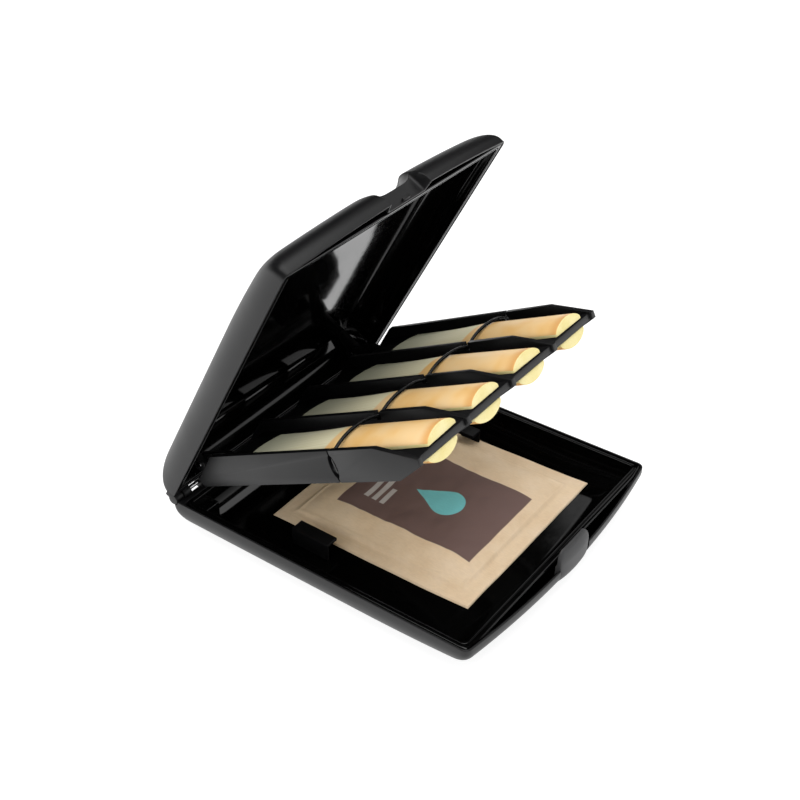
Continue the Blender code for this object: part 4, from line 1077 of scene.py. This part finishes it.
@dataclass(frozen=True)
class Liner:
    """A polished liner: lip, groove, bead, coved wall, and a ledge across the front."""

    form: CaseForm
    half: Half
    place: Place
    bead: float = 0.5 * MM
    groove: float = 0.8 * MM
    groove_depth: float = 0.75 * MM
    lip: float = 1.85 * MM
    lip_soft: float = 0.42 * MM
    lip_side: float = 1.35 * MM
    lip_low: float = 1.5 * MM
    top: float = 0.3 * MM
    edge: float = 0.12 * MM
    face_start: float = 1.2 * MM
    depth: float = 10.34 * MM
    thickness: float = 1.0 * MM
    back_depths: tuple[float, float] = (10.2 * MM, 6 * MM)
    rim_gap: float = 0.25 * MM
    ledge_blend: float = 0.15 * MM
    notch_gap: float = 0.3 * MM
    notch_blend: float = 0.1 * MM
    block_span: tuple[float, float] = (-11.2 * MM, -4.6 * MM)
    block_round: float = 0.3 * MM
    block_across: tuple[float, ...] = (41.4, 47.2, 47.2, 46.3, 45.2, 43.4, 41.4)
    block_heights: tuple[float, ...] = (-0.6, -0.6, -5.0, -7.0, -8.2, -9.4, -10.1)

    def clipped_front(self, flat: Array, ledge: float, gap: float) -> Array:
        """Move the front of an outline out to the ledge's edge, or to the bowed wall where that is nearer."""
        form = self.form
        x, y = flat[..., 0], flat[..., 1]
        hollow = form.inset(form.rebate + gap, form.beam, form.beam_inset)
        wall = hollow.front + hollow.bow * (1 - (x / hollow.half_width) ** 2)
        edge = -smooth_max(-np.full_like(x, ledge), -wall, self.ledge_blend)
        at_front = y < -form.liner_face().front
        return np.stack([x, np.where(at_front, np.maximum(-edge, np.minimum(y, -edge)), y)], axis=-1)

    def section(self) -> list[tuple[float, float]]:
        """Offsets from the face and depths, from the lip's outer edge over the groove and the bead."""
        lip, groove, bead, top, edge = self.lip, self.groove, self.bead, self.top, self.edge
        rounded = [
            (lip - self.lip_soft * (1 - math.sin(turn)), top + self.lip_soft * (1 - math.cos(turn)))
            for turn in np.linspace(math.pi / 2, 0, 7)
        ]
        return [
            (lip - edge, self.lip_low),
            (lip, self.lip_side),
            *rounded,
            (groove + edge, top),
            (groove + edge / 3, top + edge / 3),
            (groove, top + edge),
            (groove, self.groove_depth),
            (bead, self.groove_depth),
            (bead, top + edge),
            (bead - edge / 3, top + edge / 3),
            (bead - edge, top),
            (2 * edge, top),
            (0.9 * edge, top + 0.25 * edge),
            (0.3 * edge, top + 0.8 * edge),
        ]

    def rows(self) -> Array:
        """The rows of the liner's closed section, carried round the case, shaped rows by columns by three.

        They go over the rim, down the coved face to its foot, and back up behind it.
        """
        form = self.form
        ledge = form.ledge if self.half is Half.LOWER else form.lid_ledge
        rings = []
        for offset, depth in self.section():
            flat = form.liner_face(offset).ring(depth)
            if offset > self.groove + 2 * self.edge:
                inward = self.lip - offset
                flat = self.clipped_front(flat, ledge - inward, inward + self.rim_gap)
            rings.append((flat, depth))
        face = form.liner_face()
        rise = np.linspace(0, math.asin((self.depth - face.straight) / face.curve), 26)
        straight = [self.top + 2 * self.edge, self.face_start]
        depths = np.concatenate([straight, face.straight + face.curve * np.sin(rise)])
        rings.append((face.ring(depths), depths))
        depths = np.array([*self.back_depths, face.straight, self.lip_low])
        rings.append((form.liner_face(self.thickness).ring(depths), depths))
        points = []
        for flat, depth in rings:
            if self.half is Half.UPPER:
                flat = form.notched(flat, form.wall + self.notch_gap, self.notch_blend)
            points.append(np.concatenate([flat, form.heights(self.half, flat, depth)[..., None]], axis=-1))
        return np.concatenate(points)

    def corner_block(self, side: int) -> Piece:
        """The block in a hinge corner of the base, whose outline is written in millimetres."""
        outline = np.stack([self.block_across, self.block_heights], axis=-1) * np.array([side, 1]) * MM
        name = f"corner_block_{side}"
        return extruded_piece(name, self.place, outline, self.block_span, 1, self.block_round, Slot.LINER)

    def make(self, name: str) -> Piece:
        """The liner as a piece, with its corner blocks in the base."""
        points = self.rows()
        faces = grid_faces(*points.shape[:2], closed_rows=True, closed_columns=True)
        liner = Piece(name, self.place, Slot.LINER).from_grid(points, faces)
        if self.half is Half.LOWER:
            return liner.joined(self.corner_block(-1), self.corner_block(1))
        dish = self.form.dish
        return liner.carved(dish.block("dish_room", self.place, dish.wall + dish.room))


@dataclass(frozen=True)
class Clip:
    """A hook that holds the sachet: an upright with a tongue towards the middle of the case."""

    outside: float
    inward: int
    back: float
    length: float
    wall: float = 1.0 * MM
    tongue: float = 3.8 * MM
    thickness: float = 1.2 * MM
    height: float = 5.6 * MM
    overlap: float = 0.3 * MM
    edge: float = 0.25 * MM

    def make(self, name: str, form: CaseForm, place: Place) -> Piece:
        """The hook, an angled outline carried along the case."""
        foot = self.outside
        stem = foot + self.inward * self.wall
        reach = stem + self.inward * self.tongue
        top = self.height - form.floor
        under = top - self.thickness
        root = -form.floor - self.overlap
        across = (foot, stem, stem, reach, reach, foot)
        outline = np.stack([across, (root, root, under, under, top, top)], axis=-1)
        return extruded_piece(name, place, outline, (-self.back - self.length, -self.back), 1, self.edge)


@dataclass(frozen=True)
class Boss:
    """An upright in the lid, and the tray's short pin in it."""

    place: Place
    side: int
    inner: float = 37.6 * MM
    outer: float = 39.4 * MM
    line: tuple[float, float] = (-8.0 * MM, 1.97 * MM)
    radius: float = 2.4 * MM
    roof: float = 10.8 * MM
    edge: float = 0.15 * MM
    pin_radius: float = 1.0 * MM
    pin_inner: float = 35.2 * MM
    pin_proud: float = 0.2 * MM

    def upright(self) -> Piece:
        """The upright, rounded round the pin."""
        y, z = self.line
        turn = np.linspace(-math.pi, 0, 24)
        around = np.stack([y + self.radius * np.cos(turn), z + self.radius * np.sin(turn)], axis=-1)
        outline = np.concatenate([around, [[y + self.radius, self.roof], [y - self.radius, self.roof]]])
        span = (self.side * self.inner, self.side * self.outer)
        return extruded_piece(f"pivot_boss_{self.side}", self.place, outline, span, 0, self.edge)

    def pin(self) -> Piece:
        """The short pin through the upright and the tray's ear."""
        name = "tray_pin_left" if self.side < 0 else "tray_pin_right"
        span = (self.side * self.pin_inner, self.side * (self.outer + self.pin_proud))
        return rod_piece(name, self.place, self.pin_radius, span, self.line, self.edge)


@dataclass(frozen=True)
class Tray:
    """What the tray's other pieces need of it."""

    width: float = 89 * MM
    wall: float = 1.6 * MM
    floor: float = 1.9 * MM
    cells: int = 4
    heel_y: float = 93.3 * MM
    cord_y: float = 63.7 * MM

    def walls(self) -> Array:
        """The middles of the walls across the tray."""
        outer = (self.width - self.wall) / 2
        return np.linspace(-outer, outer, self.cells + 1)


@dataclass(frozen=True)
class ElasticCord:
    """The elastic loop: over the upper reeds, through the outer walls, and under the lower reeds."""

    tray: Tray
    place: Place
    radius: float = 0.5 * MM
    at_wall: float = 3.2 * MM
    at_slot: float = 2.6 * MM
    crown: float = 5.45 * MM
    arch_share: float = 0.85
    bend: float = 1.2 * MM
    steps: int = 1200
    facets: int = 17

    def route(self) -> Array:
        """The cord's closed line: an arch over each reed, a bend into each slot, and straight through it."""
        walls = self.tray.walls()
        share = np.linspace(0, 1, 26, endpoint=False)
        starts = np.array([self.at_slot, self.at_wall, self.at_wall, self.at_wall])[:, None]
        ends = starts[::-1]
        arch = (4 * share * (1 - share)) ** self.arch_share
        x = (walls[:-1, None] + (walls[1] - walls[0]) * share).ravel()
        z = (starts + (ends - starts) * share + (self.crown - (starts + ends) / 2) * arch).ravel()
        turn = np.linspace(0, math.pi / 2, 7)[:-1]
        inward = walls[0] + 0.5 * self.bend * (1 - np.cos(turn))
        into = np.stack([inward, self.at_slot - self.bend + self.bend * np.sin(turn)], axis=-1)
        upper = np.concatenate([[[walls[0], 0.0]], into, np.stack([x, z], axis=-1)[1:], into[::-1] * [-1, 1]])
        whole = np.concatenate([upper, -upper])
        return np.stack([whole[:, 0], np.full(len(whole), -self.tray.cord_y), whole[:, 1]], axis=-1)

    def make(self) -> Piece:
        """The cord: a circle carried along the route, with UV in millimetres round and along."""
        route = self.route()
        route = np.concatenate([route, route[:1]])
        lengths = np.concatenate([[0], np.cumsum(np.linalg.norm(np.diff(route, axis=0), axis=1))])
        even = np.linspace(0, lengths[-1], self.steps + 1)
        line = np.stack([np.interp(even, lengths, route[:, k]) for k in range(3)], axis=-1)[:-1]
        for _ in range(6):
            line = (np.roll(line, 1, axis=0) + 2 * line + np.roll(line, -1, axis=0)) / 4
        tangent = np.roll(line, -1, axis=0) - np.roll(line, 1, axis=0)
        tangent /= np.linalg.norm(tangent, axis=1, keepdims=True)
        side = np.array([0.0, 1.0, 0.0])
        out = np.cross(tangent, side)[:, None]
        turn = np.linspace(0, 2 * math.pi, self.facets)
        circle = np.cos(turn)[:, None] * side + np.sin(turn)[:, None] * out
        points = line[:, None] + self.radius * circle
        points = np.concatenate([points, points[:1]])
        uv = np.stack(np.broadcast_arrays(self.radius * turn, even[:, None]), axis=-1) / MM
        faces = grid_faces(self.steps + 1, self.facets)
        return Piece("elastic_loop", self.place, Slot.ELASTIC).from_grid(points, faces, uv=uv)


@dataclass(frozen=True)
class Reed:
    """A reed: its heel keeps the bark, and its vamp is scraped down to a thin rounded tip."""

    tray: Tray
    place: Place
    length: float = 70.5 * MM
    heel_width: float = 13 * MM
    tip_width: float = 16 * MM
    crown: float = 3.4 * MM
    side: float = 0.8 * MM
    tip: float = 0.3 * MM
    tip_sag: float = 2.6 * MM
    bark: float = 34 * MM
    gap: float = 0.3 * MM
    heel_steps: tuple[float, ...] = (0.0, 0.0, 0.12 * MM, 0.4 * MM)
    heel_shares: tuple[float, ...] = (0.0, 0.94, 0.98)
    side_shares: tuple[float, float] = (0.66, 0.33)
    rows: int = 120
    across: int = 33
    under: int = 9

    def section(self, along: Array) -> tuple[Array, Array]:
        """The closed section at each place along the reed.

        The top is side + (crown - side) * (1 - u^2)^0.72, and both fall from the bark's end to the tip as
        powers of what is left of the vamp. The sides stand up from the flat underside.

        Args:
            along: Places from the heel.

        Returns:
            Points shaped places by columns by three, and UV in millimetres.
        """
        left = (1 - np.clip((along - self.bark) / (self.length - self.bark), 0, 1))[:, None]
        crown = self.tip + (self.crown - self.tip) * left**1.2
        side = self.tip + (self.side - self.tip) * left**1.6
        share = (along / self.length)[:, None]
        u = np.linspace(-1, 1, self.across)
        shaped = np.sign(u) * (1 - (1 - np.abs(u)) ** 1.15)
        top = side + (crown - side) * (1 - shaped**2) ** 0.72
        down = np.array(self.side_shares)
        shape = np.concatenate([shaped, [1, 1], np.linspace(1, -1, self.under), [-1, -1, -1]])
        x = (self.heel_width + (self.tip_width - self.heel_width) * share) / 2 * shape
        y = along[:, None] - self.tip_sag * share**8 * shape * shape
        z = np.hstack([top, side * down, np.zeros((len(along), self.under)), side * down[::-1], top[:, :1]])
        return np.stack([x, y, z], axis=-1), np.stack([x, y], axis=-1) / MM

    def make(self, name: str, cell: int, heel_share: float, tip_share: float, upward: int) -> Piece:
        """Place a reed in its cell.

        Args:
            name: The piece's name.
            cell: Which cell, from the left.
            heel_share: How far its heel lies from the cell's middle, in cell widths.
            tip_share: How far its tip swings, in cell widths.
            upward: 1 on the upper face, -1 on the lower.

        Returns:
            The reed.
        """
        walls = self.tray.walls()
        cell_width = walls[1] - walls[0]
        heel = self.heel_steps[-1]
        steps = np.linspace(0, 1, self.rows) ** 0.95
        along = np.concatenate([self.heel_steps, heel + (self.length - heel) * steps[1:], [self.length]])
        points, uv = self.section(along)
        shrink = np.concatenate([self.heel_shares, np.ones(len(along) - len(self.heel_shares))])
        middle = points.mean(axis=1, keepdims=True)
        points = middle + (points - middle) * shrink[:, None, None]
        points[-1] = points[-2].mean(axis=0)
        x, y, z = np.moveaxis(points, -1, 0)
        x, z = upward * x, upward * (z + self.tray.floor / 2 + self.gap)
        swing = math.asin(tip_share * cell_width / self.length)
        centre = (walls[cell] + walls[cell + 1]) / 2 + heel_share * cell_width
        turned_x = x * math.cos(swing) + y * math.sin(swing) + centre
        turned_y = -x * math.sin(swing) + y * math.cos(swing) - self.tray.heel_y
        placed = np.stack([turned_x, turned_y, z], axis=-1)
        rows, columns = placed.shape[:2]
        cut = (np.arange(rows - 1)[:, None] < 2) | (np.arange(columns - 1) >= self.across - 1)
        piece = Piece(name, self.place, Slot.CANE)
        return piece.from_grid(placed, grid_faces(rows, columns), cut.astype(int).ravel(), uv)


@dataclass(frozen=True)
class Sachet:
    """The paper sachet: a slack, lumpy pillow with a flat sealed border.

    A dent and a crease are written as the wavelength, the seed and the height of their noise.
    """

    form: CaseForm
    place: Place
    width: float = 69.2 * MM
    length: float = 71.5 * MM
    thickness: float = 4.7 * MM
    slack: float = 0.9 * MM
    seal: float = 5 * MM
    seal_thickness: float = 0.55 * MM
    sheet: float = 0.18 * MM
    swell: float = 15 * MM
    dents: tuple[tuple[float, int, float], ...] = ((17 * MM, 3, 0.28 * MM), (7 * MM, 5, 0.07 * MM))
    crease: tuple[float, int, float] = (12 * MM, 8, 0.10 * MM)
    ridge_in: float = 0.6 * MM
    ridge_width: float = 0.75 * MM
    ridge_height: float = 0.42 * MM
    crimp_pitch: float = 1.1 * MM
    crimp_height: float = 0.02 * MM
    edge: float = 0.4 * MM
    wave: float = 22 * MM
    wave_height: float = 0.18 * MM
    lift: float = 0.12 * MM
    least_lift: float = 0.1 * MM
    sunk: float = 0.25 * MM
    centre: tuple[float, float] = (6.5 * MM, -56.3 * MM)
    turn: float = math.radians(0.5)
    cells: int = 190

    def heights(self, x: Array, y: Array) -> tuple[Array, Array]:
        """Heights of the top and the bottom sheet over the floor, at places across and along the sachet.

        The middle rises as a power of the product of sines of the way in from the seal, with soft random
        dents and the fill's small lumps. The seal is flat, with fine crimps, and its edge waves a little.
        """
        in_x, in_y = self.width / 2 - np.abs(x), self.length / 2 - np.abs(y)
        shares = (np.clip((inward - self.seal) / self.swell, 0, 1) for inward in (in_x, in_y))
        swell = np.prod([np.sin(math.pi / 2 * share) for share in shares], axis=0) ** 0.6
        places = np.stack([x, y], axis=-1)
        dents = sum(bump_noise(places, wavelength, seed) * height for wavelength, seed, height in self.dents)
        wavelength, seed, height = self.crease
        creases = np.abs(bump_noise(places, wavelength, seed)) ** 0.5 * height
        near_edge = np.minimum(in_x, in_y)
        from_ridge = (near_edge - self.seal - self.ridge_in) / self.ridge_width
        crimp = np.where(near_edge < self.seal, np.sin(near_edge / self.crimp_pitch * 2 * math.pi), 0)
        border = np.exp(-(from_ridge**2)) * self.ridge_height + crimp * self.crimp_height
        rise = (self.thickness - self.seal_thickness - self.slack) * swell
        lift = (bump_noise(places, 30 * MM, 12) + 1.2) * self.lift
        top = self.seal_thickness + rise + (dents + creases) * swell**0.5 + border + lift
        bottom = np.maximum(lift - self.least_lift, 0)
        edge = np.clip(near_edge / self.edge, 0, 1)
        return bottom + self.sheet + (top - bottom - self.sheet) * edge, bottom

    def make(self) -> Piece:
        """The sachet: a closed strip of top and bottom sheets, with both ends closed."""
        u = np.linspace(-1, 1, self.cells + 1)
        bent = np.sign(u) * (1 - (1 - np.abs(u)) ** 1.25)
        x, y = np.meshgrid(bent * self.width / 2, bent * self.length / 2, indexing="ij")
        waved = []
        for own, other, seed, size in ((x, y, 21, self.width), (y, x, 23, self.length)):
            noise = bump_noise(np.stack([other, 0 * other], axis=-1), self.wave, seed)
            waved.append(own + noise * self.wave_height * np.abs(own) / size)
        upper, lower = (np.stack([*waved, z], axis=-1) for z in self.heights(x, y))
        rings = np.concatenate([upper, lower[:, ::-1]], axis=1)
        x, y, z = np.moveaxis(rings, -1, 0)
        cosine, sine = math.cos(self.turn), math.sin(self.turn)
        turned_y = x * sine + y * cosine + self.centre[1]
        under = self.form.floor * self.form.tuck(turned_y) - self.sunk
        points = np.stack([x * cosine - y * sine + self.centre[0], turned_y, z - under], axis=-1)
        piece = Piece("sachet_paper", self.place, Slot.PAPER)
        return piece.from_grid(points, strip_faces(*x.shape), uv=rings[..., :2] / MM)


@dataclass(frozen=True)
class Catch:
    """The pressed catch: a shield that follows the case's nose, a little prouder in its middle.

    The bar is what it hooks over, on the wall of the lid's notch. The back's heights and places are where its
    inner face stands: upright in the pocket and in the notch, and leaning back above them.
    """

    half: float = 7.7 * MM
    top: float = 5.5 * MM
    bottom: float = -6.1 * MM
    corner: float = 2.8 * MM
    edge: float = 0.9 * MM
    proud: float = 0.75 * MM
    crown: float = 0.65 * MM
    least_thickness: float = 1.1 * MM
    pin: tuple[float, float] = (-109.2 * MM, -3.0 * MM)
    bore: float = 0.7 * MM
    coil_room: float = 1.4 * MM
    coil_half: float = 1.58 * MM
    leg_room: float = 4 * MM
    power: float = 5.0
    rows: int = 90
    columns: int = 96
    back_heights: tuple[float, ...] = (-6.1, -3.0, -0.4, 0.4, 4.0)
    back_places: tuple[float, ...] = (-107.95, -107.55, -107.55, -108.1, -108.3)
    bar_low: tuple[float, float, float] = (-1.5 * MM, -107.9 * MM, 0.45 * MM)
    bar_high: tuple[float, float, float] = (1.5 * MM, -106.4 * MM, 1.2 * MM)
    bar_round: float = 0.15 * MM

    def bar(self, lid: Place) -> Piece:
        """The lid's bar."""
        return box_piece("catch_bar", lid, self.bar_low, self.bar_high).bevelled(self.bar_round)

    def make(self, form: CaseForm, place: Place) -> Piece:
        """The catch: at each height, a rounded box between the front and the back face.

        A section is a superellipse: x = half * |cos t|^(2 / power), and the share of the way from back to
        front goes as |sin t|^(2 / power). Its half width and its thickness shrink in quarter circles near
        both ends.
        """
        unit = (1 - np.cos(np.linspace(0, math.pi, self.rows))) / 2
        z = (self.bottom + (self.top - self.bottom) * unit)[:, None]

        def ends(reach: float) -> tuple[Array, Array]:
            """The share of the last stretch to the top, and of one half as long to the foot."""
            return (z - self.top + reach) / reach, (self.bottom + reach / 2 - z) / (reach / 2)

        at_top, at_foot = ends(self.corner)
        half = self.half - self.corner * quarter(at_top) - self.corner / 2 * quarter(at_foot)
        at_top, at_foot = ends(self.edge)
        thick = (1 - quarter(at_top)) * (1 - quarter(at_foot))
        turn = np.linspace(0, 2 * math.pi, self.columns, endpoint=False)
        waves = np.stack([np.cos(turn), np.sin(turn)])
        across, share = np.sign(waves) * np.abs(waves) ** (2 / self.power)
        x = half * across
        front = form.nose(z) - self.proud + self.crown * (x / self.half) ** 2
        back = np.interp(z / MM, self.back_heights, self.back_places) * MM
        back = np.maximum(back, front + self.least_thickness)
        y = (front + back) / 2 - (back - front) / 2 * share * thick
        points = np.stack([x, y - self.pin[0], z - self.pin[1] + 0 * x], axis=-1)
        faces = grid_faces(self.rows, self.columns, closed_columns=True)
        cap = Piece("latch_cap", place, Slot.FITTING).from_grid(points, faces)
        bore = rod_piece("catch_bore", place, self.bore, (-2 * self.half, 2 * self.half))
        coil = rod_piece("coil_room", place, self.coil_room, (-self.coil_half, self.coil_half))
        low = (-self.coil_half, 0.0, -self.coil_room)
        high = (self.coil_half, self.leg_room, self.coil_room)
        return cap.carved(bore, coil, box_piece("leg_room", place, low, high))


@dataclass(frozen=True)
class Softbox:
    """A rectangular light that faces the case, and that polished faces mirror or not."""

    name: str
    place: tuple[float, float, float]
    size: tuple[float, float]
    power: float
    mirrored: bool = True


@dataclass(frozen=True)
class Studio:
    """The floor, the lights and the camera, which stands where the photograph was taken from."""

    camera_place: tuple[float, float, float] = (-0.25479, -0.17996, 0.26207)
    camera_aim: tuple[float, float, float] = (-0.012577, -0.002628, 0.051182)
    lens: float = 58.826
    light_aim: tuple[float, float, float] = (0, 0, 0.03)
    floor_half: float = 4.0
    lights: tuple[Softbox, ...] = (
        Softbox("overhead", (0.0, 0.0, 0.9), (0.9, 0.9), 5.5),
        Softbox("left", (-0.7, 0.1, 0.3), (0.6, 0.6), 2.0, mirrored=False),
        Softbox("right", (0.69, -0.15, 0.72), (0.7, 0.35), 0.7),
        Softbox("front", (0.59, -0.65, 0.19), (0.8, 0.36), 1.3),
        Softbox("backdrop", (0.81, 0.455, 0.605), (0.13, 0.13), 0.03),
    )

    def aimed(self, data: bpy.types.ID, place: tuple[float, ...], aim: tuple[float, ...]) -> bpy.types.Object:
        """Put a camera or a light at a place, facing another."""
        made = linked(data.name, data)
        made.location = place
        made.rotation_euler = (Vector(aim) - Vector(place)).to_track_quat("-Z", "Y").to_euler()
        return made

    def camera(self) -> None:
        """The camera."""
        data = bpy.data.cameras.new("camera")
        data.lens = self.lens
        data.sensor_width = data.sensor_height = 36
        data.sensor_fit = "HORIZONTAL"
        data.clip_start = 0.01
        bpy.context.scene.camera = self.aimed(data, self.camera_place, self.camera_aim)

    def floor(self) -> None:
        """A plain pale floor, a wide flat square under the case."""
        mesh = bpy.data.meshes.new("floor")
        half = self.floor_half
        corners = [(-half, -half, 0.0), (half, -half, 0.0), (half, half, 0.0), (-half, half, 0.0)]
        mesh.from_pydata(corners, [], [[0, 1, 2, 3]])
        material = bpy.data.materials.new("pale_floor")
        material.use_nodes = True
        inputs = material.node_tree.nodes["Principled BSDF"].inputs
        inputs["Base Color"].default_value = linear("a0a0a0")
        inputs["Roughness"].default_value = 0.9
        inputs["Emission Color"].default_value = linear("ffffff")
        inputs["Emission Strength"].default_value = 0.84
        mesh.materials.append(material)
        linked("floor", mesh)

    def world(self) -> None:
        """An even white surround, and a view that keeps white paper white."""
        world = bpy.data.worlds.new("studio")
        world.use_nodes = True
        background = world.node_tree.nodes["Background"]
        background.inputs["Color"].default_value = linear("ffffff")
        background.inputs["Strength"].default_value = 0.65
        world.cycles_visibility.glossy = False
        bpy.context.scene.world = world
        bpy.context.scene.view_settings.view_transform = "Standard"

    def make(self) -> None:
        """Set the studio up."""
        self.camera()
        self.floor()
        self.world()
        for light in self.lights:
            data = bpy.data.lights.new(light.name, "AREA")
            data.shape = "RECTANGLE"
            data.size, data.size_y = light.size
            data.energy = light.power
            self.aimed(data, light.place, self.light_aim).visible_glossy = light.mirrored


def places() -> list[Place]:
    """The places of the base, the lid, the tray and the catch, read from the frame's joints."""
    hinge, pivot, tip = (JOINTS[name] for name in ("lid_hinge", "tray_pivot", "latch_tip"))
    rest = -math.radians(hinge["range_deg"][0])
    origins = (hinge, hinge, pivot, tip)
    angles = (0.0, rest, TRAY_ANGLE, 0.0)
    return [Place(body, joint["pos_m"], angle) for body, joint, angle in zip(Body, origins, angles)]


def main() -> None:
    """Build the pieces in order and dress them."""
    logging.basicConfig(level=logging.INFO, format="%(name)s: %(message)s")
    base, lid, tray_place, latch = places()
    Studio().make()
    form = CaseForm()
    finishes = Finishes(tuple(base.put(np.array([40.4 * MM, -95.4 * MM, -form.floor]))))

    hinge = Hinge(base, lid)
    bosses = [Boss(lid, side) for side in (-1, 1)]
    catch = Catch()
    near_clip = Clip(outside=-34.5 * MM, inward=1, back=33.4 * MM, length=13.6 * MM)
    far_clip = Clip(outside=40.3 * MM, inward=-1, back=44.6 * MM, length=7.1 * MM)
    clips = [clip.make(name, form, base) for name, clip in (("near_clip", near_clip), ("far_clip", far_clip))]
    base_skin = ShellSkin(form, Half.LOWER, base).make("base_skin")
    base_skin.joined(*hinge.base_knuckles(), *clips)
    base_skin.dressed(finishes.shell, finishes.floor).stands_for("base_shell")
    lid_skin = ShellSkin(form, Half.UPPER, lid).make("lid_skin")
    lid_skin.joined(*hinge.lid_knuckles(), *(boss.upright() for boss in bosses), catch.bar(lid))
    lid_skin.dressed(finishes.shell, finishes.liner).stands_for("lid_shell")
    Liner(form, Half.LOWER, base).make("base_inlay").dressed(finishes.liner).stands_for("base_liner")
    Liner(form, Half.UPPER, lid).make("lid_inlay").dressed(finishes.liner).stands_for("lid_liner")
    hinge.pin().dressed(finishes.steel).stands_for("hinge_pin")
    for boss, node in zip(bosses, ("tray_pivot_pin_left", "tray_pivot_pin_right")):
        boss.pin().dressed(finishes.steel).stands_for(node)

    tray = Tray()
    arms = Piece("tray_skin", tray_place, Slot.FITTING).from_node("reed_tray").flattened()
    arms.bevelled(0.14 * MM).dressed(finishes.tray).stands_for("reed_tray")
    ElasticCord(tray, tray_place).make().dressed(finishes.elastic).stands_for("elastic_cord")
    upper_shares = [(0.062, -0.11), (-0.008, -0.026), (-0.05, 0.114), (-0.005, 0.103)]
    lower_shares = [(-0.016, 0.02), (-0.055, -0.03), (-0.03, 0.04), (-0.004, 0.015)]
    reed = Reed(tray, tray_place)
    for cell in range(tray.cells):
        for row, shares, sign in (("top", upper_shares[cell], 1), ("bottom", lower_shares[cell], -1)):
            made = reed.make(f"cane_{row}_{cell + 1}", cell, *shares, sign)
            made.dressed(finishes.cane, finishes.cut_cane).stands_for(f"reed_{row}_{cell + 1}")
            made.object.visible_glossy = False

    catch.make(form, latch).dressed(finishes.latch).stands_for("latch_button")
    for node in ("latch_pin", "latch_spring"):
        mesh = frame["nodes"][node].data
        mesh.materials.clear()
        mesh.materials.append(finishes.steel)

    sachet = Sachet(form, base).make().dressed(finishes.paper, sharp=60)
    sachet.stands_for("humidity_pack")
    sachet.object.visible_glossy = False


if __name__ == "__main__":
    main()
